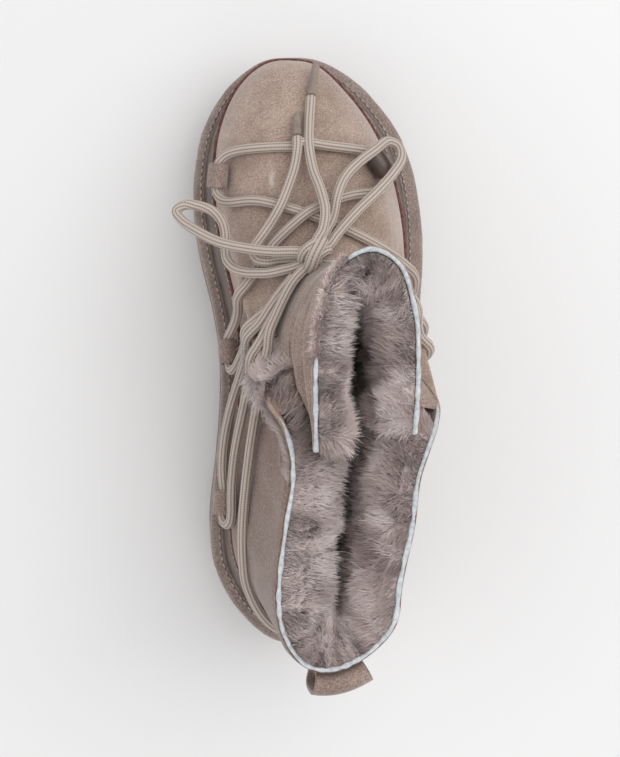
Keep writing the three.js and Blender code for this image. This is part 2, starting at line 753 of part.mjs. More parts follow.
// From the throat down to the medial rear keeper and up again under the heel strand
const ROUTE_REAR = () => pulled(
  overUpper([
    [-0.105, 0.96, LOW], [-0.14, 0.93, LOW], [-0.162, 0.89, 5], [-0.182, 0.83, 6.8], [-0.202, 0.74, 5], [-0.228, 0.60, LOW],
    [-0.261, 0.356, LOW], [-0.283, 0.205, LOW], [-0.307, 0.14, 4.5],
  ]),
  through('keeper_medial_rear', -1),
  overUpper([
    [-0.354, 0.32, 5], [-0.356, 0.40, 4], [-0.345, 0.45, LOW], [-0.328, 0.44, LOW], [-0.31, 0.41, LOW],
    [-0.289, 0.423, LOW], [-0.264, 0.51, LOW], [-0.235, 0.70, 4], [-0.212, 0.81, 7], [-0.192, 0.88, 8.5],
    [-0.172, 0.91, 7], [-0.15, 0.93, 4.5], [-0.12, 0.945, LOW],
  ]),
);

// From the knot along the throat, round the heel to the lateral rear keeper and back to the throat
const ROUTE_HEEL = () => pulled(
  overUpper([
    [-0.05, 0.99, LOW], [-0.081, 1.0, 3.8], [-0.115, 1.0, 4.5], [-0.15, 1.0, 4.5], [-0.18, 0.985, 7],
    [-0.205, 0.93, 8], [-0.222, 0.83, 7.5], [-0.245, 0.66, LOW], [-0.266, 0.59, LOW], [-0.288, 0.573, LOW],
    [-0.309, 0.565, LOW], [-0.333, 0.52, LOW], [-0.357, 0.50, LOW], [-0.385, 0.46, LOW], [-0.42, 0.36, LOW], [-0.455, 0.26, 3.8],
    [-0.5, 0.22, 4.2], [-0.545, 0.24, LOW], [-0.59, 0.30, LOW], [-0.625, 0.31, 4.5],
  ]),
  through('keeper_lateral_rear', -1),
  overUpper([
    [0.314, 0.25, 5.2], [0.295, 0.25, 4], [0.261, 0.356, LOW], [0.228, 0.60, 4], [0.203, 0.74, 5],
    [0.18, 0.85, 5.2], [0.14, 0.93, 4.5], [0.10, 0.962, LOW], [0.05, 0.985, LOW],
  ]),
);

function makeCrossings() {
  const strands = [
    [ROUTE_LATERAL(), 42],
    [ROUTE_MEDIAL(), 42],
    [ROUTE_REAR(), 28],
    [ROUTE_HEEL(), 36],
  ];
  return strands.reduce((whole, [points, steps]) => {
    const strand = solid(cord(points, LACE, steps));
    return whole ? whole.add(strand) : strand;
  }, null);
}

// Bow: each route is a list of points in millimetres
const KNOT_STRANDS = [
  [[-5.5, 36, 110.5], [-4.8, 38, 114.8], [-1, 40.2, 117], [2.2, 42, 114.5], [2.8, 43, 111.2]],
  [[-7, 38.2, 112.4], [-3, 38.6, 113], [1.5, 40, 113], [4, 41, 112.8]],
  [[-2, 35.6, 110.8], [-0.5, 36.6, 114.6], [2.2, 38.5, 116], [4.6, 40.6, 113.6], [4.8, 41.5, 111]],
];

const LOOP_LATERAL = [
  [6.6, 44.4, 112.4], [9.6, 48.5, 110.4], [18.8, 59.3, 106], [28.8, 69.1, 102], [36.6, 78, 97],
  [40.6, 85, 92], [39.6, 91, 88], [35, 93, 89], [28.2, 88, 94.4], [19.6, 81, 98.5],
  [13.5, 73.8, 103], [10.3, 65.9, 106.6], [8.3, 56.8, 107.5], [5.6, 51, 109.4], [3.8, 47.4, 110.8],
];

const LOOP_MEDIAL = [
  [-7.6, 41.2, 113], [-17.5, 41.3, 110.6], [-28.6, 42.8, 106.4], [-40.7, 46, 99.6], [-51.3, 51.9, 92.4],
  [-57.4, 56.6, 88.4], [-60, 61, 87], [-56.4, 63.8, 87], [-50, 63.4, 87], [-43.7, 61, 87],
  [-39.8, 56.6, 87], [-38.4, 51.4, 87.6], [-38.2, 45.5, 88.6], [-37.6, 39.6, 90], [-34.6, 35.2, 93.4],
  [-29.6, 33, 98], [-24.5, 32.4, 102.4], [-18.9, 32.4, 105.8], [-13, 33.6, 108], [-7.9, 35, 110.2],
];

const END_LONG = [
  [0.6, 46.6, 117], [3.3, 50.6, 115.2], [4.6, 59.1, 113], [3, 68.8, 107.5], [0.3, 78, 101.4],
  [-1.3, 88.3, 98], [-0.9, 98.9, 91.5], [0, 108, 86.6], [0.6, 114, 83.8],
];
const AGLET_LONG_WAY = [0.16, 0.9, -0.4];

const END_SHORT = [
  [-7.5, 38, 104.8], [-13.2, 38, 102.4], [-20.1, 37.2, 103], [-24.4, 38.6, 101], [-26, 42.8, 99.4],
  [-23.4, 47.4, 98.4], [-18.9, 54, 98.6], [-14.2, 62.3, 101], [-9.6, 73.7, 98], [-7.2, 82, 96.8],
  [-6.4, 88.6, 97], [-6.4, 94, 94.6],
];
const AGLET_SHORT_WAY = [0.04, 0.86, -0.5];

function pointsFrom(rows) {
  return rows.map(([x, y, z]) => new THREE.Vector3(x, y, z));
}

function makeKnot() {
  return KNOT_STRANDS.reduce((whole, rows) => {
    const strand = solid(cord(pointsFrom(rows), LACE, 5));
    return whole ? whole.add(strand) : strand;
  }, null);
}

/** Hard sleeve that carries on from the end of a lace. */
function makeAglet(rows, way, length) {
  const end = new THREE.Vector3(...rows[rows.length - 1]);
  const along = new THREE.Vector3(...way).normalize();
  const start = end.clone().addScaledVector(along, GAP);
  return cord([start, start.clone().addScaledVector(along, length)], AGLET, 1, 8);
}

// Pull tab: a folded strap across the back of the collar
const PULL_ROUND = 0.480;
const PULL_REACH = 0.034;
const PULL_DEPTH = 10.5;
const PULL_HEIGHT = 0.21;
const PULL_TOP = 0.985;
const PULL_CORNER = 0.7;
const PULL_WALL = 118;

function makePullTab() {
  const across = spread(PULL_ROUND - PULL_REACH, PULL_ROUND + PULL_REACH, 5);
  const section = (thick) => {
    const turns = 12;
    return (round) => Array.from({ length: turns }, (_, i) => {
      const angle = 2 * Math.PI * i / turns;
      const side = Math.sign(Math.cos(angle)) * Math.abs(Math.cos(angle)) ** PULL_CORNER;
      const rise = Math.sign(Math.sin(angle)) * Math.abs(Math.sin(angle)) ** PULL_CORNER;
      const half = PULL_DEPTH / 2 - thick;
      const up = PULL_TOP - PULL_HEIGHT / 2 + (PULL_HEIGHT / 2 - thick / PULL_WALL) * rise;
      return upperPoint(round, up, 2 * GAP + PULL_DEPTH / 2 + half * side);
    });
  };
  const outer = across.map(section(0));
  const inner = across.map(section(TAB_THICK));
  return ringTube(outer, inner);
}

/** Hollow body swept through stations of closed outer and inner sections. */
function ringTube(outer, inner) {
  const turns = outer[0].length;
  const points = [...outer.flat(), ...inner.flat()];
  const faces = [];
  const o = (s, t) => s * turns + (t % turns);
  const n = (s, t) => outer.length * turns + s * turns + (t % turns);
  const quad = (a, b, c, d) => faces.push([a, b, c], [a, c, d]);
  const end = outer.length - 1;
  for (let t = 0; t < turns; t += 1) {
    for (let s = 0; s < end; s += 1) {
      quad(o(s, t), o(s + 1, t), o(s + 1, t + 1), o(s, t + 1));
      quad(n(s, t), n(s, t + 1), n(s + 1, t + 1), n(s + 1, t));
    }
    quad(o(0, t), o(0, t + 1), n(0, t + 1), n(0, t));
    quad(o(end, t), n(end, t), n(end, t + 1), o(end, t + 1));
  }
  return geometryFrom(points, outward(points, faces));
}

/** Named mesh with its own plain material. */
function part(name, geometry, color, roughness) {
  const material = new THREE.MeshStandardMaterial({ color, roughness });
  const mesh = new THREE.Mesh(geometry, material);
  mesh.name = name;
  return mesh;
}

const boot = new THREE.Group();
boot.name = 'sheepskin_boot_right';
boot.add(
  part('outsole', makeOutsole(), 0x8c7d73, 0.8),
  part('platform', makePlatform(), 0xa89890, 0.9),
  part('insole', makeInsole(), 0x9a8a86, 1),
  part('upper', makeUpper(), 0xae9b8e, 0.95),
  part('rand', makeRand(), 0x6f605c, 0.5),
  part('collar_fleece', makeCollarFleece(), 0x968784, 1),
  part('tongue', makeTongue(), 0xae9b8e, 0.95),
  part('tongue_fleece', makeTongueFleece(), 0x968784, 1),
  part('pull_tab', makePullTab(), 0xa89890, 0.95),
  ...Object.entries(KEEPERS).map(([name, spec]) => part(name, makeKeeper(spec), 0xa89890, 0.9)),
  part('lace_crossings', geometryOf(makeCrossings()), 0xc8bcb2, 0.9),
  part('lace_knot', geometryOf(makeKnot()), 0xc8bcb2, 0.9),
  part('lace_loop_lateral', cord(pointsFrom(LOOP_LATERAL), LACE, 22), 0xc8bcb2, 0.9),
  part('lace_loop_medial', cord(pointsFrom(LOOP_MEDIAL), LACE, 28), 0xc8bcb2, 0.9),
  part('lace_end_long', cord(pointsFrom(END_LONG), LACE, 12), 0xc8bcb2, 0.9),
  part('lace_end_short', cord(pointsFrom(END_SHORT), LACE, 16), 0xc8bcb2, 0.9),
  part('aglet_long', makeAglet(END_LONG, AGLET_LONG_WAY, AGLET_LONG), 0x9a8c82, 0.6),
  part('aglet_short', makeAglet(END_SHORT, AGLET_SHORT_WAY, AGLET_SHORT), 0x9a8c82, 0.6),
);

export default boot;
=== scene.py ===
"""Right sheepskin boot: fine surfaces, fleece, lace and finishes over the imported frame.

Shapes are worked out in millimetres, as the boot's maker would give them, and MM turns them into
Blender's metres when a mesh is laid down. +Z is up, the toe points to +Y and the lateral side to +X.
"""
import logging
import math
from dataclasses import dataclass, field
from enum import Enum

import bmesh
import bpy
import numpy as np
from mathutils import Matrix, Vector
from mathutils.kdtree import KDTree
from numpy.typing import NDArray


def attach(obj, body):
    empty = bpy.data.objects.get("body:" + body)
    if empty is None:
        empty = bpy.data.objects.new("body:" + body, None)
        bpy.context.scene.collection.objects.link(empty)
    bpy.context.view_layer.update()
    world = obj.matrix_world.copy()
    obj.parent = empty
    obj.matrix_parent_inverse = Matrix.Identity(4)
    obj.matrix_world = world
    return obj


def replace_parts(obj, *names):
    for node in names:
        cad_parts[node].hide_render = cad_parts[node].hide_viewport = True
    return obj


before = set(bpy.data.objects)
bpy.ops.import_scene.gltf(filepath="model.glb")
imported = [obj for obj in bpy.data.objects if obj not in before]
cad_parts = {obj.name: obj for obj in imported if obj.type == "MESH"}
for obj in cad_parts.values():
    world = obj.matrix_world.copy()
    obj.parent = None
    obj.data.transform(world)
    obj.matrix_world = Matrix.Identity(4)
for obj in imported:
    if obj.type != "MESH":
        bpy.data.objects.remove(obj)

Array = NDArray[np.float64]
Tree = bpy.types.NodeTree
Socket = bpy.types.NodeSocket
log = logging.getLogger("boot")

MM = 0.001
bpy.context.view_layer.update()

# Sole
SOLE_LENGTH = 280.0
BALL_WIDTH = 111.0
HEEL_WIDTH = 84.0
HEEL_STACK = 46.0
FORE_STACK = 36.0
OUTSOLE_THICK = 12.0
TOE_SPRING = 6.0
TOE_LIFT = 7.5
ARCH_LIFT = 2.5
CORNER_POWER = 0.75

# Upper
SUEDE = 2.2
RAND_HEIGHT = 17.0
RAND_THICK = 1.6
SEAM = 0.2
RAND_BULGE = 0.18
COLLAR_BACK = -135.0
THROAT_FRONT = 36.0
COLLAR_RISE = 104.0
FLANGE = 8.0
WALL_RISE = 26.0
VAMP_RUN = 40.0
TOP_DROP = 30.0

# Tongue
TONGUE_RISE = 119.0
TONGUE_SINK = 20.0
TONGUE_INSET = 15.0
TONGUE_BULGE = 3.0

# Fleece, lace and gaps
FLEECE = 12.0
TONGUE_FLEECE = 7.4
FOOTBED = 7.0
LACE = 4.6
TAB_THICK = 1.6
TAB_WIDTH = 11.0
GAP = 0.3
TAB_GAP = 0.8
KEEPER_HOLE = LACE / 2 + 0.8
KEEPER_RUN = 0.6

# Spans that turn shares round and up into millimetres for tufts
COLLAR_RUN = 420.0
COLLAR_WALL = 85.0
TONGUE_RUN = 150.0
TONGUE_WALL = 64.0


def unit(vectors: Array) -> Array:
    """Vectors divided by their lengths."""
    return vectors / np.maximum(np.linalg.norm(vectors, axis=-1, keepdims=True), 1e-9)


def soft(low: float, high: float, x: Array) -> Array:
    """Soft step from 0 at low to 1 at high: 3t^2 - 2t^3 of the clamped share t."""
    t = np.clip((np.asarray(x, float) - low) / (high - low), 0, 1)
    return t * t * (3 - 2 * t)


def vector(x: Array, y: Array, z: Array) -> Array:
    """Points from three arrays of the same shape or that spread to it."""
    return np.stack(np.broadcast_arrays(x, y, z), -1)


class Table:
    """Short table: each named column holds shares of the size given with its name."""

    def __init__(self, columns: dict[str, float], rows: list[list[float]], period: float = 0.0) -> None:
        """Keep the rows; a period makes the table run round.

        Args:
            columns: size of each column, the first being the place along the table.
            rows: one list of shares for each place.
            period: length of one turn, or 0 for a table with two ends.
        """
        cells = np.array(rows, float)
        if period:
            before = cells[-2:] - np.eye(len(columns))[0] * period
            after = cells[:2] + np.eye(len(columns))[0] * period
            cells = np.concatenate([before, cells, after])
        self.period = period
        self.names = list(columns)[1:]
        self.places = cells[:, 0]
        self.values = cells[:, 1:] * np.array(list(columns.values())[1:])
        step = np.diff(self.places)[:, None]
        slope = np.diff(self.values, axis=0) / step
        inner = (slope[:-1] * step[1:] + slope[1:] * step[:-1]) / (step[1:] + step[:-1])
        self.slopes = np.concatenate([slope[:1], inner, slope[-1:]])

    def at(self, x: Array) -> dict[str, Array]:
        """Smooth value of every column at x, as a cubic through the rows with their mean slopes."""
        x = np.asarray(x, float)
        if self.period:
            x = np.mod(x, self.period)
        i = np.clip(np.searchsorted(self.places, x, side="right") - 1, 0, len(self.places) - 2)
        span = (self.places[i + 1] - self.places[i])[..., None]
        s = (x - self.places[i])[..., None] / span
        found = (self.values[i] * (2 * s**3 - 3 * s**2 + 1) + span * self.slopes[i] * (s**3 - 2 * s**2 + s)
                 + self.values[i + 1] * (3 * s**2 - 2 * s**3) + span * self.slopes[i + 1] * (s**3 - s**2))
        return {name: found[..., c] for c, name in enumerate(self.names)}


OUTLINE = Table({"at": 1, "centre": BALL_WIDTH, "ball": BALL_WIDTH, "heel": HEEL_WIDTH}, [
    [0.00, -0.027, 0.000, 0.524],
    [0.06, -0.018, 0.000, 0.619],
    [0.12, -0.018, 0.000, 0.646],
    [0.20, -0.007, 0.000, 0.614],
    [0.30, 0.023, 0.200, 0.301],
    [0.42, 0.056, 0.330, 0.112],
    [0.50, 0.069, 0.427, 0.000],
    [0.58, 0.063, 0.459, 0.000],
    [0.66, 0.044, 0.505, 0.000],
    [0.74, 0.024, 0.545, 0.000],
    [0.82, 0.007, 0.572, 0.000],
    [0.88, -0.008, 0.577, 0.000],
    [0.94, -0.027, 0.545, 0.000],
    [1.00, -0.045, 0.477, 0.000],
])

# welt: ledge left outside the upper; lean: how far the rand leans in;
# rise and inward: how the wall leaves the seam; forward and drop: how it meets the top line
WALL = Table({
    "round": 1, "welt": FLANGE, "lean": FLANGE, "rise": WALL_RISE, "inward": FLANGE,
    "forward": VAMP_RUN, "drop": TOP_DROP,
}, [
    [0.00, 0.688, 0.000, 0.923, 0.125, 1.000, 0.467],
    [0.07, 0.750, 0.625, 0.846, 0.375, 0.925, 0.467],
    [0.13, 0.875, 0.812, 0.846, 0.500, 0.750, 0.500],
    [0.20, 1.000, 0.438, 0.846, 0.625, 0.400, 0.733],
    [0.30, 0.875, 0.375, 0.769, 0.375, 0.150, 0.867],
    [0.42, 0.750, 0.500, 0.923, 0.000, 0.000, 1.000],
    [0.50, 0.750, 0.500, 1.000, -0.250, 0.000, 1.000],
    [0.58, 0.750, 0.750, 0.923, 0.125, 0.000, 1.000],
    [0.70, 0.688, 0.375, 0.769, 0.500, 0.150, 0.867],
    [0.80, 0.662, 0.688, 0.846, 0.625, 0.400, 0.733],
    [0.88, 0.600, 0.438, 0.885, 0.500, 0.700, 0.533],
    [0.94, 0.562, 0.062, 0.923, 0.375, 0.925, 0.467],
], period=1.0)

TOP_LINE = Table({"at": 1, "centre": BALL_WIDTH, "half": BALL_WIDTH, "rise": COLLAR_RISE}, [
    [0.00, 0.018, 0.360, 1.000],
    [0.10, 0.057, 0.351, 1.000],
    [0.20, 0.066, 0.295, 0.990],
    [0.36, 0.109, 0.259, 0.957],
    [0.47, 0.137, 0.250, 0.913],
    [0.53, 0.153, 0.270, 0.880],
    [0.59, 0.158, 0.306, 0.841],
    [0.65, 0.135, 0.351, 0.788],
    [0.71, 0.113, 0.333, 0.673],
    [0.76, 0.099, 0.333, 0.582],
    [0.84, 0.104, 0.356, 0.553],
    [0.93, 0.099, 0.378, 0.553],
    [1.00, 0.072, 0.387, 0.562],
])

TONGUE_EDGE = Table({"along": 1, "x": BALL_WIDTH, "y": SOLE_LENGTH, "rise": TONGUE_RISE}, [
    [0.00, -0.032, -0.155, 0.857],
    [0.12, -0.036, -0.086, 0.891],
    [0.24, -0.036, -0.021, 0.924],
    [0.34, -0.014, 0.050, 0.958],
    [0.42, 0.036, 0.111, 0.983],
    [0.50, 0.167, 0.141, 1.000],
    [0.58, 0.288, 0.116, 0.992],
    [0.66, 0.347, 0.054, 0.958],
    [0.78, 0.366, -0.021, 0.924],
    [0.90, 0.367, -0.086, 0.891],
    [1.00, 0.362, -0.129, 0.866],
])

TONGUE_ROOT = Table({
    "along": 1, "round": 1, "sink": TONGUE_SINK, "inset": TONGUE_INSET, "bulge": TONGUE_BULGE,
}, [
    [0.00, -0.245, 1.000, 1.000, 0.000],
    [0.12, -0.210, 0.750, 0.853, 0.000],
    [0.24, -0.172, 0.450, 0.427, 0.667],
    [0.34, -0.120, 0.400, 0.253, 1.000],
    [0.42, -0.070, 0.400, 0.240, 0.333],
    [0.50, 0.000, 0.400, 0.240, 0.000],
    [0.58, 0.070, 0.400, 0.240, 0.000],
    [0.66, 0.125, 0.400, 0.307, 0.333],
    [0.78, 0.172, 0.450, 0.427, 0.333],
    [0.90, 0.210, 0.750, 1.027, 0.000],
    [1.00, 0.235, 1.000, 0.967, 0.000],
])


class Last:
    """The boot's own surfaces: sole edge, upper's face and tongue's face, in millimetres.

    round is the share of the way round from the toe by the lateral side; up runs from 0 at the
    platform over the rand's seam to 1 at the top line.
    """

    @staticmethod
    def length_share(round_: Array) -> Array:
        """Share of the sole's length from the heel: half of one plus the cosine of the turn."""
        return (1 + np.cos(2 * np.pi * np.asarray(round_, float))) / 2

    @staticmethod
    def deck(at: Array) -> Array:
        """Height of the platform's top: it falls from heel to ball and springs at the toe."""
        return (FORE_STACK + (HEEL_STACK - FORE_STACK) * (1 - soft(0.28, 0.64, at))
                + TOE_SPRING * soft(0.80, 1.0, at) ** 1.4)

    @staticmethod
    def tread(at: Array) -> Array:
        """Height of the tread: flat at heel and ball, lifted at the toe and under the arch."""
        return (TOE_LIFT * soft(0.78, 1.0, at) ** 1.6
                + ARCH_LIFT * soft(0.29, 0.34, at) * (1 - soft(0.37, 0.43, at)))

    @staticmethod
    def split(at: Array) -> Array:
        """Height where outsole and platform meet."""
        return OUTSOLE_THICK + TOE_LIFT * soft(0.78, 1.0, at) ** 1.6

    @classmethod
    def edge(cls, round_: Array) -> Array:
        """Sole's edge in plan: centre line plus half width times a squared-off sine."""
        at = cls.length_share(round_)
        row = OUTLINE.at(at)
        side = np.sin(2 * np.pi * np.asarray(round_, float))
        x = row["centre"] + (row["ball"] + row["heel"]) * np.sign(side) * np.abs(side) ** CORNER_POWER
        return np.stack([x, (at - 0.5) * SOLE_LENGTH], -1)

    @classmethod
    def edge_normal(cls, round_: Array) -> Array:
        """Outward normal of the sole's edge: its run turned by a quarter."""
        step = 0.002
        run = unit(cls.edge(np.asarray(round_) + step) - cls.edge(np.asarray(round_) - step))
        return np.stack([-run[..., 1], run[..., 0]], -1)

    @classmethod
    def sole_line(cls, round_: Array, inset: Array, z: Array) -> Array:
        """Sole's edge moved in by inset, at height z."""
        p = cls.edge(round_) - cls.edge_normal(round_) * np.asarray(inset, float)[..., None]
        return vector(p[..., 0], p[..., 1], z)

    @classmethod
    def top_line(cls, round_: Array) -> Array:
        """Top line of the upper: collar at the back, throat at the front."""
        at = cls.length_share(round_)
        row = TOP_LINE.at(at)
        x = row["centre"] + row["half"] * np.sin(2 * np.pi * np.asarray(round_, float))
        return vector(x, COLLAR_BACK + (THROAT_FRONT - COLLAR_BACK) * at, HEEL_STACK + row["rise"])

    @classmethod
    def face(cls, round_: Array, up: Array) -> Array:
        """Outer face of rand and upper: a bulged rand, then a cubic Bezier wall to the top line."""
        round_, up = np.broadcast_arrays(np.asarray(round_, float), np.asarray(up, float))
        row = WALL.at(round_)
        deck = cls.deck(cls.length_share(round_))
        flat = cls.edge_normal(round_)
        normal = vector(flat[..., 0], flat[..., 1], 0.0)
        base = cls.sole_line(round_, row["welt"], deck + GAP)
        seam = cls.sole_line(round_, row["welt"] + row["lean"], deck + RAND_HEIGHT)
        r = np.clip(up / SEAM, 0, 1)
        bulge = np.sin(np.pi * r) * RAND_BULGE * row["lean"]
        low = base + (seam - base) * r[..., None] + normal * bulge[..., None]
        top = cls.top_line(round_)
        out = unit((seam - top) * [1, 1, 0])
        leave = seam - normal * row["inward"][..., None] + vector(0 * up, 0 * up, row["rise"])
        meet = top + out * row["forward"][..., None] - vector(0 * up, 0 * up, row["drop"])
        s = ((up - SEAM) / (1 - SEAM))[..., None]
        high = seam * (1 - s)**3 + leave * 3 * (1 - s)**2 * s + meet * 3 * (1 - s) * s**2 + top * s**3
        return np.where((up < SEAM)[..., None], low, high)

    @classmethod
    def frame_at(cls, round_: Array, up: Array) -> tuple[Array, Array, Array]:
        """Unit vectors of the upper's face: along the boot, up the wall and outwards."""
        step = 0.004
        round_, up = np.broadcast_arrays(np.asarray(round_, float), np.asarray(up, float))
        low = np.minimum(np.maximum(up - step, 0), 1 - 2 * step)
        along = cls.face(round_ + step, up) - cls.face(round_ - step, up)
        rise = cls.face(round_, low + 2 * step) - cls.face(round_, low)
        return unit(along), unit(rise), unit(np.cross(rise, along))

    @classmethod
    def point(cls, round_: Array, up: Array, lift: Array) -> Array:
        """Point at a distance outside (or, if negative, inside) the upper's face."""
        return cls.face(round_, up) + cls.frame_at(round_, up)[2] * np.asarray(lift, float)[..., None]

    @classmethod
    def tongue_face(cls, along: Array, up: Array) -> Array:
        """Outer face of the tongue: a cubic Bezier from its root in the throat to its top edge."""
        along, up = np.broadcast_arrays(np.asarray(along, float), np.asarray(up, float))
        edge, root = TONGUE_EDGE.at(along), TONGUE_ROOT.at(along)
        top = vector(edge["x"], edge["y"], HEEL_STACK + edge["rise"])
        step = 0.003
        run = cls.top_line(root["round"] + step) - cls.top_line(root["round"] - step)
        normal = unit(vector(run[..., 1], -run[..., 0], 0 * up))
        down = vector(0 * up, 0 * up, root["sink"])
        low = cls.top_line(root["round"]) + normal * root["inset"][..., None] - down
        reach = (top - low) * [0, 0, 0.36]
        first = low - normal * root["bulge"][..., None] + reach
        second = top - normal * root["bulge"][..., None] * 0.5 - reach
        s = up[..., None]
        return low * (1 - s)**3 + first * 3 * (1 - s)**2 * s + second * 3 * (1 - s) * s**2 + top * s**3

    @classmethod
    def tongue_frame(cls, along: Array, up: Array) -> tuple[Array, Array, Array]:
        """Unit vectors of the tongue's face: along its edge, up and outwards."""
        step = 0.004
        a = np.clip(np.asarray(along, float), step, 1 - step)
        u = np.clip(np.asarray(up, float), step, 1 - step)
        run = cls.tongue_face(a + step, u) - cls.tongue_face(a - step, u)
        rise = cls.tongue_face(a, u + step) - cls.tongue_face(a, u - step)
        return unit(run), unit(rise), unit(np.cross(rise, run))

    @classmethod
    def tongue_point(cls, along: Array, up: Array, lift: Array) -> Array:
        """Point at a distance outside the tongue's face."""
        normal = cls.tongue_frame(along, up)[2]
        return cls.tongue_face(along, up) + normal * np.asarray(lift, float)[..., None]


def hashed(cells: NDArray[np.int64], seed: int) -> Array:
    """Number from 0 to 1 for each whole-number cell, the same on every run.

    Args:
        cells: whole numbers in the last axis.
        seed: picks one of many such patterns.
    """
    primes = np.array([73856093, 19349663, 83492791], dtype=np.int64)[: cells.shape[-1]]
    mixed = (cells * primes).sum(-1) + seed * 2654435761
    mixed = (mixed ^ (mixed >> 13)) * 1274126177 & 0x7FFFFFFF
    mixed = (mixed ^ (mixed >> 16)) * 668265263 & 0x7FFFFFFF
    return (mixed % 65536) / 65536.0


def cloud(points: Array, size: float, seed: int) -> Array:
    """Smooth value noise from -1 to 1: hashed numbers at the corners of cells of that size, blended."""
    scaled = np.asarray(points, float) / size
    cell = np.floor(scaled).astype(np.int64)
    share = scaled - cell
    share = share * share * (3 - 2 * share)
    total = np.zeros(scaled.shape[:-1])
    corners = np.stack(np.meshgrid(*[[0, 1]] * scaled.shape[-1], indexing="ij"), -1)
    for corner in corners.reshape(-1, scaled.shape[-1]):
        weight = np.where(corner == 1, share, 1 - share).prod(-1)
        total += weight * hashed(cell + corner, seed)
    return total * 2 - 1


class Draft:
    """Points and faces of one piece while it is being worked out, in millimetres."""

    def __init__(self) -> None:
        """Start with nothing."""
        self.points: list[Array] = []
        self.faces: list[NDArray[np.int64]] = []
        self.uvs: list[Array] = []
        self.masks: dict[str, list[Array]] = {}
        self.count = 0

    def _keep(self, points: Array, faces: NDArray[np.int64], uv: Array | None,
              masks: dict[str, Array]) -> None:
        """Add flat arrays of points, with their UVs and masks."""
        self.faces.append(faces + self.count)
        self.points.append(points)
        self.uvs.append(np.zeros((len(points), 2)) if uv is None else uv)
        for name, values in masks.items():
            self.masks.setdefault(name, []).append(values)
        self.count += len(points)

    def grid(self, grid: Array, uv: Array | None = None, **masks: Array) -> None:
        """Add one grid of points, or many: the last axes are row, column and x, y, z."""
        patches = grid.reshape(-1, *grid.shape[-3:])
        k, a, b, _ = patches.shape
        index = np.arange(k * a * b).reshape(k, a, b)
        quads = np.stack([index[:, :-1, :-1], index[:, 1:, :-1], index[:, 1:, 1:], index[:, :-1, 1:]], -1)
        spread = {n: np.broadcast_to(v, grid.shape[:-1]).reshape(-1) for n, v in masks.items()}
        flat_uv = None if uv is None else np.broadcast_to(uv, (*grid.shape[:-1], 2)).reshape(-1, 2)
        self._keep(patches.reshape(-1, 3), quads.reshape(-1, 4), flat_uv, spread)

    def fan(self, ring: Array, middle: Array) -> None:
        """Close a ring of points with triangles that meet in its middle."""
        self.grid(np.stack([ring, np.broadcast_to(middle, ring.shape)]))

    def shut(self, grid: Array, rows: int) -> None:
        """Close both ends of a loop that runs that many rows out and as many back."""
        for end in (0, -1):
            self.grid(np.stack([grid[end, :rows], grid[end, 2 * rows - 1:rows - 1:-1]]))

    def spikes(self, left: Array, right: Array, points_end: Array, **masks: Array) -> None:
        """Add ribbons that end in a point.

        Args:
            left: points of one edge, (ribbon, station, 3).
            right: points of the other edge.
            points_end: last point of each ribbon.
            masks: values for (ribbon, station + 1), the last being the end's.
        """
        k, s, _ = left.shape
        points = np.concatenate([left, right, points_end[:, None]], 1)
        index = np.arange(k * (2 * s + 1)).reshape(k, -1)
        a, b = index[:, :s], index[:, s:2 * s]
        quads = np.stack([a[:, :-1], b[:, :-1], b[:, 1:], a[:, 1:]], -1).reshape(-1, 4)
        ends = np.stack([a[:, -1], b[:, -1], index[:, -1], index[:, -1]], -1)
        spread = {n: np.concatenate([v[:, :-1], v[:, :-1], v[:, -1:]], 1).reshape(-1)
                  for n, v in masks.items()}
        self._keep(points.reshape(-1, 3), np.concatenate([quads, ends]), None, spread)

    def lay(self, name: str, finish: "Finish", closed: bool = True,
            normals: Array | None = None) -> bpy.types.Object:
        """Make the object, in metres, riding on the boot.

        Args:
            name: the piece's name.
            finish: what it is made of.
            closed: join doubles and turn the faces outwards.
            normals: shading normals for each point, where the piece is hair.

        Returns:
            The finished object.
        """
        points = np.concatenate(self.points) * MM
        faces = np.concatenate(self.faces)
        triangle = faces[:, 2] == faces[:, 3]
        sizes = np.where(triangle, 3, 4)
        corners = faces[~(np.pad(triangle[:, None], ((0, 0), (3, 0))))]
        mesh = bpy.data.meshes.new(name)
        mesh.vertices.add(len(points))
        mesh.vertices.foreach_set("co", points.ravel())
        mesh.loops.add(len(corners))
        mesh.loops.foreach_set("vertex_index", corners.astype(np.int32))
        mesh.polygons.add(len(faces))
        mesh.polygons.foreach_set("loop_start", (np.cumsum(sizes) - sizes).astype(np.int32))
        mesh.update(calc_edges=True)
        layer = mesh.uv_layers.new(name="UVMap")
        layer.uv.foreach_set("vector", np.concatenate(self.uvs)[corners].astype(np.float32).ravel())
        for mask, values in self.masks.items():
            attribute = mesh.attributes.new(mask, "FLOAT", "POINT")
            attribute.data.foreach_set("value", np.concatenate(values).astype(np.float32))
        if closed:
            work = bmesh.new()
            work.from_mesh(mesh)
            bmesh.ops.remove_doubles(work, verts=work.verts, dist=2e-6)
            bmesh.ops.recalc_face_normals(work, faces=work.faces)
            work.to_mesh(mesh)
            work.free()
        mesh.polygons.foreach_set("use_smooth", np.ones(len(mesh.polygons), dtype=bool))
        if normals is not None:
            mesh.normals_split_custom_set_from_vertices(normals.tolist())
        mesh.materials.append(finish.material())
        piece = bpy.data.objects.new(name, mesh)
        bpy.context.scene.collection.objects.link(piece)
        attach(piece, "root")
        log.info("%s: %d faces", name, len(mesh.polygons))
        return piece


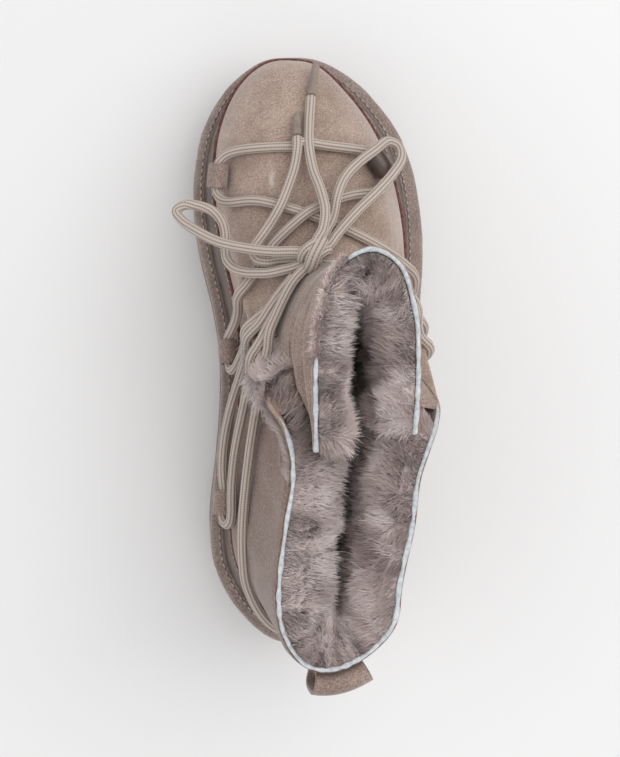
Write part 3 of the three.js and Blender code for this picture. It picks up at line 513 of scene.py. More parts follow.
def smooth_path(points: list[list[float]] | Array, step: float) -> Array:
    """Centripetal Catmull-Rom curve through the points, cut into equal steps.

    Args:
        points: chosen points of the route.
        step: distance between the stations, in millimetres.

    Returns:
        Stations on the curve, the first and last on the ends.
    """
    p = np.array(points, float)
    p = np.concatenate([[2 * p[0] - p[1]], p, [2 * p[-1] - p[-2]]])
    gap = np.maximum(np.linalg.norm(np.diff(p, axis=0), axis=-1) ** 0.5, 1e-4)[:, None]
    d0, d1, d2 = gap[:-2], gap[1:-1], gap[2:]
    a, b, c, d = p[:-3], p[1:-2], p[2:-1], p[3:]
    leave = ((b - a) / d0 - (c - a) / (d0 + d1) + (c - b) / d1) * d1
    arrive = ((c - b) / d1 - (d - b) / (d1 + d2) + (d - c) / d2) * d1
    t = np.linspace(0, 1, 41)[:-1, None, None]
    curve = (b * (2 * t**3 - 3 * t**2 + 1) + leave * (t**3 - 2 * t**2 + t)
             + c * (3 * t**2 - 2 * t**3) + arrive * (t**3 - t**2))
    curve = np.concatenate([curve.transpose(1, 0, 2).reshape(-1, 3), p[-2:-1]])
    return even(curve, step)


def run_along(path: Array) -> Array:
    """Distance from a path's start to each of its stations."""
    return np.concatenate([[0], np.cumsum(np.linalg.norm(np.diff(path, axis=0), axis=-1))])


def even(path: Array, step: float) -> Array:
    """The same path with stations at equal steps along it."""
    run = run_along(path)
    stations = np.linspace(0, run[-1], max(int(round(run[-1] / step)), 2) + 1)
    return np.stack([np.interp(stations, run, path[:, c]) for c in range(3)], -1)


def tube(path: Array, radius: Array, sides: int, reference: Array) -> Array:
    """Rings round a path: each point is the station plus radius times a turned pair of unit vectors.

    Args:
        path: stations, (..., station, 3).
        radius: radius for every station and side, or one that spreads to it.
        sides: number of sides; the last column repeats the first.
        reference: outward direction at each station, not along the path.

    Returns:
        Grid of points (..., station, side + 1, 3).
    """
    run = unit(np.gradient(path, axis=-2))
    side = unit(np.cross(run, reference))
    out = np.cross(side, run)
    turn = np.linspace(0, 2 * np.pi, sides + 1)[:, None]
    ring = np.cos(turn) * side[..., None, :] + np.sin(turn) * out[..., None, :]
    return path[..., None, :] + ring * np.broadcast_to(radius, ring.shape[:-1])[..., None]


def there_and_back(out: Array, back: Array) -> tuple[Array, Array]:
    """Rows out, rows back and the first row again, with a mask that is true on the rows back."""
    rows = np.concatenate([out, back, out[:1]])
    place = np.arange(rows.size)
    return rows[None, :], (place >= out.size) & (place < out.size + back.size)


def bell(across: Array, rise: Array, angle: float, length: float, width: float, depth: float) -> Array:
    """One crease: a bell across its line that fades towards its two ends.

    Args:
        across: distance from its middle along the surface, in millimetres.
        rise: distance from its middle up the surface.
        angle: direction of its line, in degrees from level.
        length: how far it runs.
        width: how broad it is.
        depth: its height, below zero for a trough.
    """
    turn = math.radians(angle)
    along = across * math.cos(turn) + rise * math.sin(turn)
    off = rise * math.cos(turn) - across * math.sin(turn)
    return depth * np.exp(-(off / width) ** 2) * np.exp(-(along / length * 2) ** 2)


def away_from_foot(path: Array) -> Array:
    """Direction from the middle of the foot to each station, used to keep a lace's twist steady."""
    centre = vector(0 * path[..., 0] + 10, np.clip(path[..., 1], -85, 60), 45)
    return unit(path - centre)


class Coat(Enum):
    """How a surface answers light, as the pair of its roughness and sheen."""

    NAPPED = (0.92, 0.35)
    WOOLLY = (0.85, 0.7)
    SATIN = (0.31, 0.0)
    RUBBER = (0.68, 0.0)
    THREAD = (0.85, 0.15)
    PLASTIC = (0.5, 0.0)


def srgb(code: str) -> tuple[float, float, float, float]:
    """Linear colour of an sRGB hex code."""
    shares = [int(code[i:i + 2], 16) / 255 for i in (0, 2, 4)]
    return (*[s / 12.92 if s <= 0.04045 else ((s + 0.055) / 1.055) ** 2.4 for s in shares], 1.0)


def add_node(tree: Tree, kind: str, settings: dict | None = None) -> bpy.types.Node:
    """Add a node with its settings and links.

    Args:
        tree: the material's nodes.
        kind: Blender's name for the node.
        settings: a property's name, or an input's name or number, with its value or the socket
            that feeds it; stops are a ramp's colours.

    Returns:
        The new node.
    """
    node = tree.nodes.new(kind)
    for name, value in (settings or {}).items():
        if isinstance(value, Socket):
            tree.links.new(value, node.inputs[name])
        elif name == "stops":
            elements = node.color_ramp.elements
            while len(elements) < len(value):
                elements.new(0.5)
            for element, (place, code) in zip(elements, value):
                element.position = place
                element.color = srgb(code)
        elif isinstance(name, int) or name in node.inputs:
            node.inputs[name].default_value = value
        else:
            setattr(node, name, value)
    return node


def attribute(tree: Tree, name: str) -> Socket:
    """Value of a mask that is kept on the points."""
    return add_node(tree, "ShaderNodeAttribute", {"attribute_name": name}).outputs["Fac"]


def ramp(tree: Tree, stops: list[tuple[float, str]], share: Socket) -> Socket:
    """Colour that a ramp gives for a share."""
    return add_node(tree, "ShaderNodeValToRGB", {"stops": stops, "Fac": share}).outputs["Color"]


def blend(tree: Tree, kind: str, share: Socket | float, first: Socket, second: Socket | tuple) -> Socket:
    """Two colours mixed or multiplied by a share."""
    settings = {"data_type": "RGBA", "blend_type": kind, 0: share, 6: first, 7: second}
    return add_node(tree, "ShaderNodeMix", settings).outputs[2]


def maths(tree: Tree, operation: str, *terms: Socket | float) -> Socket:
    """Outcome of one operation on sockets or plain numbers."""
    settings = {"operation": operation, **dict(enumerate(terms))}
    return add_node(tree, "ShaderNodeMath", settings).outputs[0]


@dataclass(frozen=True)
class Finish:
    """A finish: the name of its slot, how it answers light and the parts that every finish shares."""

    name: str
    slot: str
    coat: Coat

    def material(self) -> bpy.types.Material:
        """The finish's material, made once."""
        found = bpy.data.materials.get(self.name)
        if found:
            return found
        made = bpy.data.materials.new(self.name)
        made.use_nodes = True
        tree = made.node_tree
        tree.nodes.clear()
        roughness, sheen = self.coat.value
        colour, height, depth = self.pattern(tree)
        settings = {"Roughness": roughness, "Sheen Weight": sheen, "Sheen Roughness": 0.5,
                    "Base Color": colour}
        if height is not None:
            relief = {"Strength": 0.6, "Distance": depth * MM, "Height": height}
            bump = add_node(tree, "ShaderNodeBump", relief)
            settings["Normal"] = bump.outputs["Normal"]
        add_node(tree, "ShaderNodeOutputMaterial", {"Surface": self.surface(tree, settings)})
        return made

    def surface(self, tree: Tree, settings: dict) -> Socket:
        """The shader that the settings describe."""
        return add_node(tree, "ShaderNodeBsdfPrincipled", settings).outputs["BSDF"]

    def pattern(self, tree: Tree) -> tuple:
        """Colour socket, height socket and depth in millimetres; each finish has its own."""
        raise NotImplementedError

    @staticmethod
    def noise(tree: Tree, size: float, detail: float = 2.0) -> Socket:
        """Noise on the object's own coordinates with grains of that size in millimetres."""
        place = add_node(tree, "ShaderNodeTexCoord").outputs["Object"]
        grain = {"Scale": 1 / (size * MM), "Detail": detail, "Vector": place}
        return add_node(tree, "ShaderNodeTexNoise", grain).outputs["Fac"]


@dataclass(frozen=True)
class Suede(Finish):
    """Napped leather: short fibres brushed both ways, so fine specks sit on broad soft patches."""

    light: str
    middle: str
    dark: str
    speck: float = 0.8
    patch: float = 16.0
    other: str = ""

    def pattern(self, tree: Tree) -> tuple:
        """Specks through a three-colour ramp, darkened in patches.

        Where the finish has another colour, the quarter is darkened by it and flecked with the
        light one, and a scuff turns pale.
        """
        speck = self.noise(tree, self.speck, 3.0)
        tone = ramp(tree, [(0.30, self.dark), (0.50, self.middle), (0.68, self.light)], speck)
        patch = ramp(tree, [(0.32, "d9d3cf"), (0.66, "ffffff")], self.noise(tree, self.patch, 3.0))
        colour = blend(tree, "MULTIPLY", 0.8, tone, patch)
        if self.other:
            quarter = attribute(tree, "quarter")
            darker = blend(tree, "MULTIPLY", quarter, colour, srgb(self.other))
            coarse = self.noise(tree, self.speck * 1.4, 3.0)
            fleck = ramp(tree, [(0.47, "000000"), (0.68, "9a9a9a")], coarse)
            flecked = blend(tree, "MIX", maths(tree, "MULTIPLY", fleck, quarter), darker, srgb(self.light))
            colour = blend(tree, "MIX", attribute(tree, "scuff"), flecked, srgb("d6cbc2"))
        return colour, speck, 0.35


@dataclass(frozen=True)
class Smooth(Finish):
    """Coated leather, rubber, film or thread: one colour with a faint cloud and a fine grain."""

    light: str
    dark: str
    cloud: float = 9.0
    grain: float = 0.7
    depth: float = 0.12

    def pattern(self, tree: Tree) -> tuple:
        """A two-colour cloud, with a fine grain for the height."""
        tone = ramp(tree, [(0.35, self.dark), (0.65, self.light)], self.noise(tree, self.cloud, 3.0))
        return tone, self.noise(tree, self.grain), self.depth


@dataclass(frozen=True)
class Pile(Finish):
    """Sheepskin wool: darker at the roots, a painted shade between the hairs, paler at the tips, and in soft
    tufts that differ in tone at random and carry painted shade and highlight.
    """

    root: str
    middle: str
    tip: str
    through: float = 0.25

    def pattern(self, tree: Tree) -> tuple:
        """The tip mask runs through a ramp from the dark root, painted shade, to the pale tip, and the tone
        mask darkens and lightens it by tuft: partly their own tone, partly painted shade and highlight.
        """
        tip, tone = attribute(tree, "tip"), attribute(tree, "tone")
        along = ramp(tree, [(0.0, self.root), (0.45, self.middle), (1.0, self.tip)], tip)
        # The tone ramp darkens and lightens the hairs by tuft: partly their own tone, partly painted shade
        # and highlight.
        shade = ramp(tree, [(0.05, "9b908e"), (0.5, "dfd8d6"), (0.9, "ffffff")], tone)
        return blend(tree, "MULTIPLY", 1.0, along, shade), None, 0.0

    def surface(self, tree: Tree, settings: dict) -> Socket:
        """A share of the light passes through the hairs, so the gaps between them stay soft."""
        behind = add_node(tree, "ShaderNodeBsdfTranslucent", {"Color": settings["Base Color"]})
        shares = {0: self.through, 1: super().surface(tree, settings), 2: behind.outputs["BSDF"]}
        return add_node(tree, "ShaderNodeMixShader", shares).outputs["Shader"]


@dataclass(frozen=True)
class Braid(Finish):
    """Round braided lace: pale ribs along the lace, darker where the braid is low between them, and slanted
    stitches.
    """

    light: str
    dark: str
    ribs: int = 8
    stitch: float = 1.1

    def pattern(self, tree: Tree) -> tuple:
        """U is the length in millimetres and V the share of the way round.

        The rib's height is the size of a sine of V; stitches are a sine of U that leans both ways.
        """
        place = add_node(tree, "ShaderNodeUVMap").outputs["UV"]
        uv = add_node(tree, "ShaderNodeSeparateXYZ", {"Vector": place})
        turns = maths(tree, "MULTIPLY", uv.outputs["Y"], math.pi * self.ribs)
        rib = maths(tree, "ABSOLUTE", maths(tree, "SINE", turns))
        lean = maths(tree, "MULTIPLY", rib, 2.2)
        along = maths(tree, "MULTIPLY", uv.outputs["X"], 2 * math.pi / self.stitch)
        slant = maths(tree, "SINE", maths(tree, "ADD", along, lean))
        height = maths(tree, "ADD", rib, maths(tree, "MULTIPLY_ADD", slant, 0.16, -0.08))
        # Colour follows the height: darker in the troughs, paler on the ribs.
        return ramp(tree, [(0.12, self.dark), (0.62, self.light)], height), height, 0.45


VAMP_SUEDE = Suede("vamp suede, brushed", "suede", Coat.NAPPED, "c0ab9d", "aa9487", "8b766b",
                   speck=0.7, other="b09a8d")
PLATFORM_SUEDE = Suede("platform suede, brushed", "platform_suede", Coat.NAPPED, "a8988f", "93837b", "7a6b64")
TONGUE_SUEDE = Suede("tongue suede, brushed", "suede", Coat.NAPPED, "b39f93", "9b867a", "7d6b61")
STRAP_SUEDE = Suede("strap suede, brushed", "suede", Coat.NAPPED, "a8948a", "907c72", "74635b")
RAND_LEATHER = Smooth("rand leather, coated", "rand_leather", Coat.SATIN, "605149", "483b35")
TREAD_RUBBER = Smooth("outsole rubber, moulded", "outsole_rubber", Coat.RUBBER, "8d7f75", "7c6e65",
                      cloud=14.0, grain=1.2, depth=0.2)
AGLET_FILM = Smooth("aglet film, heat shrunk", "aglet", Coat.PLASTIC, "8f8075", "7e7067", 5.0, 0.8, 0.05)
RAW_EDGE = Smooth("raw leather edge, dyed", "rand_leather", Coat.THREAD, "7d4c41", "4e2d27", 2.0, 0.4, 0.3)
CUT_EDGE = Smooth("sheepskin leather, cut edge", "suede", Coat.THREAD, "c9cdd0", "a9adb1", 2.0, 0.4, 0.25)
PALE_THREAD = Smooth("sewing thread, twisted", "lace", Coat.THREAD, "b8aba1", "9a8d84", 1.5, 0.4, 0.1)
# A dark tube along the flange seam: painted shade of the groove.
GROOVE_SHADE = Smooth("seam groove, painted shade", "lace", Coat.THREAD, "75665f", "5f514b", 1.5, 0.4, 0.1)
WOOL = Pile("sheepskin wool, clipped", "fleece", Coat.WOOLLY, "c8b8b3", "eddeda", "fff6f2")
# A darker copy of the wool for the dense wool under the hair and for the footbed: painted shade.
SHADED_WOOL_SKIN = Pile("sheepskin wool, at the skin, painted shade", "fleece", Coat.WOOLLY, "b9aba7", "dfd0cb", "f2e5e0")
LACE_BRAID = Braid("polyester lace, braided", "lace", Coat.THREAD, "bcaea3", "867970")


@dataclass
class Studio:
    """Pale floor, soft light and the camera that looks straight down beside the boot."""

    camera_at: tuple[float, float, float] = (-52.7, -13.9, 800.0)
    look_at: tuple[float, float, float] = (6.3, -13.9, 0.0)
    focal: float = 75.5
    sensor: float = 36.0

    def camera(self) -> None:
        """The camera keeps the photograph's place and turns a little to frame the one boot."""
        back = (Vector(self.camera_at) - Vector(self.look_at)).normalized()
        right = Vector((0, 1, 0)).cross(back).normalized()
        upward = back.cross(right)
        data = bpy.data.cameras.new("camera")
        data.sensor_width = self.sensor
        data.lens = self.focal
        data.clip_start = 0.05
        camera = bpy.data.objects.new("camera", data)
        turn = Matrix((right, upward, back)).transposed().to_4x4()
        camera.matrix_world = Matrix.Translation(Vector(self.camera_at) * MM) @ turn
        bpy.context.scene.collection.objects.link(camera)
        bpy.context.scene.camera = camera

    def floor(self) -> None:
        """A plain pale sheet well wider than the view."""
        half = 3.0
        mesh = bpy.data.meshes.new("floor")
        corners = [(-half, -half, 0), (half, -half, 0), (half, half, 0), (-half, half, 0)]
        mesh.from_pydata(corners, [], [(0, 1, 2, 3)])
        paper = bpy.data.materials.new("paper, matt")
        paper.use_nodes = True
        shader = paper.node_tree.nodes["Principled BSDF"]
        shader.inputs["Base Color"].default_value = srgb("e5e4e3")
        shader.inputs["Roughness"].default_value = 0.9
        mesh.materials.append(paper)
        floor = bpy.data.objects.new("floor", mesh)
        bpy.context.scene.collection.objects.link(floor)

    def light(self) -> None:
        """A broad lamp above and to the right, a weaker one from the left, and an even sky."""
        lamps = [
            ("key", (380, 240, 900), 900, 5.2),
            ("fill", (-650, -150, 650), 700, 1.0),
            ("back", (100, -700, 600), 600, 0.8),
        ]
        for name, place, size, power in lamps:
            data = bpy.data.lights.new(name, "AREA")
            data.size = size * MM
            data.energy = power
            lamp = bpy.data.objects.new(name, data)
            aim = (Vector((0, 0, 60)) - Vector(place)).to_track_quat("-Z", "Y")
            lamp.matrix_world = Matrix.Translation(Vector(place) * MM) @ aim.to_matrix().to_4x4()
            bpy.context.scene.collection.objects.link(lamp)
        bpy.context.scene.view_settings.view_transform = "Standard"
        world = bpy.data.worlds.new("sky")
        world.use_nodes = True
        world.node_tree.nodes["Background"].inputs["Color"].default_value = srgb("f4f5f7")
        world.node_tree.nodes["Background"].inputs["Strength"].default_value = 0.78
        bpy.context.scene.world = world


@dataclass
class Sole:
    """Rubber outsole with chevron lugs, platform wrapped in suede, and fleece footbed."""

    columns: int = 560
    grooves: tuple[float, ...] = (0.08, 0.14, 0.20, 0.26, 0.53, 0.60, 0.67, 0.74, 0.81, 0.88)
    groove_width: float = 3.5
    groove_depth: float = 3.2
    groove_point: float = 5.0
    groove_reach: float = BALL_WIDTH * 0.7
    side_rib: float = 1.0
    tread_bevel: float = 2.0
    edge_round: float = 2.0
    tuck: float = 1.6
    swell: float = 0.4
    swell_drop: float = 10.0

    def rings(self, profile: list[tuple[float, Array]], round_: Array) -> Array:
        """Sole's edge at each inset and height of a profile, (ring, column, 3)."""
        return np.stack([Last.sole_line(round_, np.full_like(round_, inset), height)
                         for inset, height in profile])

    @staticmethod
    def cap(ring: Array, across: int) -> Array:
        """Rungs across the boot between opposite points of a ring, with points spaced along them."""
        half = len(ring) // 2
        near = ring[: half + 1]
        far = ring[::-1][: half + 1]
        share = np.linspace(0, 1, across + 1)[None, :, None]
        return near[:, None] * (1 - share) + far[:, None] * share

    def carve(self, grid: Array) -> Array:
        """Lift what lies in a groove to its ceiling: a V that points to the toe, with set width."""
        x, y, z = grid[..., 0], grid[..., 1], grid[..., 2]
        for at in self.grooves:
            start = (at - 0.5) * SOLE_LENGTH + self.groove_point * (1 - 2 * np.abs(x) / self.groove_reach)
            inside = (y > start) & (y < start + self.groove_width)
            z = np.where(inside, np.maximum(z, Last.tread(at) + self.groove_depth), z)
        return vector(x, y, z)

    def outsole(self) -> None:
        """Stacked rings with a ribbed side and a carved bottom."""
        round_ = np.linspace(0, 1, self.columns + 1)
        at = Last.length_share(round_)
        low, high = Last.tread(at), Last.split(at)
        shares = [(self.tread_bevel, 0.0), (0.9, 0.06), (self.swell, 0.16), (0.1, 0.30), (0, 0.42),
                  (0.7, 0.455), (self.side_rib, 0.50), (0.7, 0.545), (0, 0.58), (0.1, 0.75),
                  (0.5, 0.93), (self.side_rib, 1.0)]
        rings = self.rings([(inset, low + (high - low) * share) for inset, share in shares], round_)
        draft = Draft()
        draft.grid(self.carve(rings))
        draft.grid(self.carve(self.cap(rings[0], 48)))
        draft.grid(self.cap(rings[-1], 2))
        piece = draft.lay("outsole_rubber", TREAD_RUBBER)
        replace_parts(piece, "outsole")

    def platform(self) -> None:
        """Wrapped midsole: a tucked lower edge, a slightly swelled side and a rounded flange."""
        round_ = np.linspace(0, 1, self.columns + 1)
        at = Last.length_share(round_)
        low, high = Last.split(at) + GAP, Last.deck(at)
        turn = np.linspace(0, np.pi / 2, 6)
        edge = [(self.edge_round * (1 - math.cos(t)), high - self.edge_round * (1 - math.sin(t)))
                for t in turn]
        side = [(self.tuck, low), (self.tuck * 0.6, low + 0.3), (self.tuck * 0.5, low + 0.8)]
        side += [(self.swell * (1 - s) + self.tuck * 0.25 * (1 - s) ** 4, low + 1.5 + (high - low - 6) * s)
                 for s in np.linspace(0, 1, 14)]
        rings = self.rings([*side, *edge, (5.0, high), (9.0, high - 0.05), (12.0, high - 0.1)], round_)
        pull = cloud(rings * [1, 1, 0.25], 9.0, 5) * 0.22 + cloud(rings, 3.0, 6) * 0.08
        outward = Last.edge_normal(round_)
        sides = (np.arange(len(rings)) < len(side) + 2)[:, None]
        rings[..., :2] += outward[None] * (pull * sides)[..., None]
        draft = Draft()
        draft.grid(rings)
        draft.grid(self.cap(rings[0], 2))
        draft.grid(self.cap(rings[-1], 2))
        piece = draft.lay("platform_wrap", PLATFORM_SUEDE)
        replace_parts(piece, "platform")

    def flange_seam(self) -> None:
        """Stitches that sink into the flange close to the rand, over a dark tube that paints the shade of
        their groove.
        """
        round_ = np.linspace(0, 1, 841)
        at = Last.length_share(round_)
        inset = WALL.at(round_)["welt"] - 1.4
        line = Last.sole_line(round_, inset, Last.deck(at) + 0.1)
        upward = vector(0 * at, 0 * at, 1.0)
        Stitching(3.4, 1.3, 0.42).sew(line, upward, "flange_stitching", PALE_THREAD)
        # The dark tube under the stitches is painted shade in the seam's groove.
        draft = Draft()
        draft.grid(tube(line - [0, 0, 0.3], 0.42, 6, upward))
        draft.lay("flange_groove", GROOVE_SHADE)

    def footbed(self) -> None:
        """Fleece insole: rounded edge and a top that rolls in small tufts."""
        round_ = np.linspace(0, 1, 241)
        at = Last.length_share(round_)
        base = WALL.at(round_)["welt"] + RAND_THICK + SUEDE + 2 * GAP + 1
        deck = Last.deck(at) + GAP
        steps = [(0.6, 0), (0, 0.25), (0.1, 0.55), (0.6, 0.8), (2, 0.93), (4, 1), (9, 0.9), (14, 0.82)]
        rings = np.stack([Last.sole_line(round_, base + inset, deck + FOOTBED * share)
                          for inset, share in steps])
        top = self.cap(rings[-1], 60)
        top[..., 2] += cloud(top, 5.0, 21) * 0.9 * np.sin(np.linspace(0, np.pi, 61)) ** 0.3
        draft = Draft()
        # Tip masks of 0.4 on the rim and 0.55 on the top keep the footbed near the darker root colour:
        # painted shade.
        draft.grid(rings, tip=0.4, tone=0.5 + 0.4 * cloud(rings, 6, 22))
        draft.grid(self.cap(rings[0], 2), tip=0.4, tone=0.5)
        draft.grid(top, tip=0.55, tone=0.5 + 0.5 * cloud(top, 6, 22))
        piece = draft.lay("footbed_fleece", SHADED_WOOL_SKIN)
        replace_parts(piece, "insole")

    def build(self) -> None:
        """All pieces below the upper."""
        self.outsole()
        self.platform()
        self.flange_seam()
        self.footbed()


@dataclass
class Stitching:
    """A row of stitches, each a small pill of thread along the seam."""

    pitch: float
    space: float
    thread: float

    def sew(self, line: Array, outward: Array, name: str, finish: Finish) -> bpy.types.Object:
        """Lay stitches of one pitch along a line.

        Args:
            line: points of the seam, close together.
            outward: direction out of the surface at each point.
            name: the piece's name.
            finish: the thread.

        Returns:
            One piece with every stitch.
        """
        run = run_along(line)
        count = int(run[-1] / self.pitch)
        starts = np.arange(count)[:, None] * run[-1] / count
        share = np.linspace(0, 1, 7)
        place = starts + share * (self.pitch - self.space)
        path = np.stack([np.interp(place, run, line[:, c]) for c in range(3)], -1)
        out = np.stack([np.interp(place, run, outward[:, c]) for c in range(3)], -1)
        arch = np.sin(np.pi * share)
        path = path + out * (arch * self.thread * 0.5)[None, :, None]
        radius = self.thread * np.sqrt(np.maximum(1 - (2 * share - 1) ** 4, 0.0))
        draft = Draft()
        draft.grid(tube(path, radius[None, :, None], 6, out))
        return draft.lay(name, finish)


# Soft troughs and ridges of the upper: place round and up, direction in degrees from level,
# length, width and depth in millimetres
UPPER_CREASES = [
    [-0.150, 0.80, 55, 34, 4.5, -0.7],
    [-0.185, 0.62, 70, 30, 5.0, -0.6],
    [0.130, 0.72, 120, 34, 5.0, -0.6],
    [0.185, 0.60, 105, 32, 5.5, -0.7],
    [-0.060, 0.80, 12, 40, 6.0, -0.5],
    [0.060, 0.76, 170, 44, 6.0, -0.5],
    [0.000, 0.55, 0, 60, 9.0, 0.5],
    [-0.300, 0.70, 80, 44, 6.0, -0.8],
    [-0.345, 0.62, 95, 50, 7.0, 0.7],
    [-0.400, 0.50, 20, 50, 6.0, -0.9],
    [-0.430, 0.75, 75, 40, 7.0, 0.6],
    [0.300, 0.70, 100, 44, 6.0, -0.8],
    [0.345, 0.60, 85, 50, 7.0, 0.7],
    [0.400, 0.48, 160, 50, 6.0, -0.9],
    [0.440, 0.72, 105, 40, 7.0, 0.6],
]


@dataclass
class Upper:
    """Hollow suede upper with its rand, raw seam, stitches and pale cut edge."""

    columns: int = 480
    quarter_from: float = 0.238
    quarter_step: float = 0.7
    round_run: float = 620.0
    wall_run: float = 92.0

    def creases(self, round_: Array, up: Array) -> Array:
        """Sum of soft troughs and ridges, fading at the seam and the top line."""
        round_, up = np.broadcast_arrays(round_, up)
        total = 0.25 * cloud(Last.face(round_, up), 14.0, 31)
        for place, height, *shape in UPPER_CREASES:
            across = ((round_ - place + 0.5) % 1 - 0.5) * self.round_run
            total = total + bell(across, (up - height) * self.wall_run, *shape)
        return total * soft(0.2, 0.3, up) * (1 - soft(0.93, 1.0, up))

    def quarter(self, round_: Array, up: Array) -> Array:
        """1 on the quarter, 0 on the vamp; the quarter's front edge leans back towards the sole."""
        side = np.abs((round_ + 0.5) % 1 - 0.5)
        front = self.quarter_from + 0.012 * np.sin(np.pi * np.clip(up, 0, 1))
        return soft(-0.0012, 0.0012, side - front)

    def build(self) -> None:
        """The shell as one closed loop of points carried round the boot."""
        round_ = np.linspace(0, 1, self.columns + 1)[:, None]
        rows = np.concatenate([np.linspace(0, 0.188, 8), [0.198, 0.206],
                               np.linspace(0.215, 0.985, 78), [1.0]])
        inner = np.concatenate([np.linspace(1.0, 0.30, 16), [0.25, 0.21, 0.17, 0.12, 0.06, 0.0]])
        step = (RAND_THICK + GAP) * (rows < 0.203)
        extra = (RAND_THICK + GAP) * (1 - soft(0.12, 0.30, inner))
        ups = np.concatenate([rows, inner, rows[:1]])[None, :]
        lifts = np.concatenate([-step, -SUEDE - extra, -step[:1]])[None, :]
        raised = self.quarter(round_, ups) * self.quarter_step * soft(0.2, 0.215, ups)
        raised = raised * (1 - soft(0.94, 1, ups))
        outside = np.arange(ups.size) < rows.size
        grid = Last.point(round_, ups, lifts + (self.creases(round_, ups) + raised) * outside)
        level = Last.deck(Last.length_share(round_)) + GAP
        grid[..., 2] = np.where(ups == 0, level, grid[..., 2])
        scuff = (np.exp(-((grid[..., 0] + 17.5) / 1.3) ** 2 - ((grid[..., 1] - 75) / 5.5) ** 2)
                 * (0.5 + 0.5 * cloud(grid, 1.5, 8)))
        draft = Draft()
        draft.grid(grid, quarter=self.quarter(round_, ups), scuff=np.clip(scuff, 0, 1) * 0.8)
        piece = draft.lay("upper_suede", VAMP_SUEDE)
        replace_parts(piece, "upper")
        self.rand()
        self.seams()
        self.cut_edge()

    def rand(self) -> None:
        """Smooth leather band between the flange and the seam."""
        round_ = np.linspace(0, 1, self.columns + 1)[:, None]
        rows = np.linspace(0, 0.188, 12)
        ups, inner = there_and_back(rows, rows[::-1])
        pucker = 0.12 * cloud(Last.face(round_, ups), 6.0, 9)
        grid = Last.point(round_, ups, np.where(inner, -RAND_THICK, pucker))
        level = Last.deck(Last.length_share(round_)) + GAP
        grid[..., 2] = np.where(ups == 0, level, grid[..., 2])
        draft = Draft()
        draft.grid(grid)
        piece = draft.lay("rand_band", RAND_LEATHER)
        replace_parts(piece, "rand")

    def seams(self) -> None:
        """Raw dyed edge along the rand's seam, a row of stitches above the rand, and the quarter's row."""
        round_ = np.linspace(0, 1, 1201)
        edge = Last.point(round_, np.full_like(round_, 0.196), 0.35 + 0 * round_)
        out = Last.frame_at(round_, np.full_like(round_, 0.196))[2]
        wobble = 0.95 + 0.25 * cloud(edge, 2.0, 12)
        draft = Draft()
        draft.grid(tube(edge, wobble[:, None], 8, out))
        draft.lay("rand_raw_edge", RAW_EDGE)
        line = Last.point(round_, np.full_like(round_, 0.172), 0.1 + 0 * round_)
        Stitching(2.9, 0.9, 0.36).sew(line, out, "rand_stitching", PALE_THREAD)
        up = np.linspace(0.23, 0.93, 300)
        front = self.quarter_from + 0.012 * np.sin(np.pi * up) + 0.006
        for side, name in ((-1, "medial"), (1, "lateral")):
            line = Last.point(side * front, up, self.quarter_step + 0 * up)
            out = Last.frame_at(side * front, up)[2]
            Stitching(2.9, 0.9, 0.34).sew(line, out, f"quarter_stitching_{name}", PALE_THREAD)

    def cut_edge(self) -> None:
        """Pale cut edge of the sheepskin along the collar, over the wall and the fleece's skin."""
        round_ = np.linspace(0.200, 0.785, 700)[:, None]
        turn = np.linspace(0, 2 * np.pi, 17)[None, :]
        middle = -SUEDE / 2 - 0.35
        half = SUEDE / 2 - 0.1 + 0.28 * cloud(vector(round_ * 600, 0 * turn, 0), 5.0, 14)
        taper = soft(0.200, 0.215, round_) * (1 - soft(0.77, 0.785, round_)) * 0.8 + 0.2
        lift = middle + half * taper * np.cos(turn)
        rise = 0.5 + 0.75 * taper * np.sin(turn) + 0.12 * cloud(vector(round_ * 600, lift, 0 * turn), 2.0, 15)
        grid = Last.point(round_, np.ones_like(lift), lift) + vector(0 * lift, 0 * lift, rise)
        draft = Draft()
        draft.grid(grid)
        for end in (0, -1):
            draft.fan(grid[end], grid[end].mean(0))
        draft.lay("collar_cut_edge", CUT_EDGE)


# Creases of the tongue's flank: place along and up, direction, length, width and depth
TONGUE_CREASES = [
    [0.20, 0.44, 4, 110, 2.4, -1.3],
    [0.26, 0.55, -4, 90, 2.6, 1.1],
    [0.18, 0.66, 3, 120, 2.4, -1.4],
    [0.24, 0.77, -2, 100, 2.6, 1.0],
    [0.16, 0.87, 2, 110, 2.0, -1.0],
    [0.38, 0.60, 30, 50, 2.6, -0.9],
    [0.56, 0.45, 90, 50, 6.0, -0.6],
    [0.70, 0.50, 90, 56, 5.0, -0.7],
    [0.84, 0.50, 88, 56, 5.0, 0.7],
]


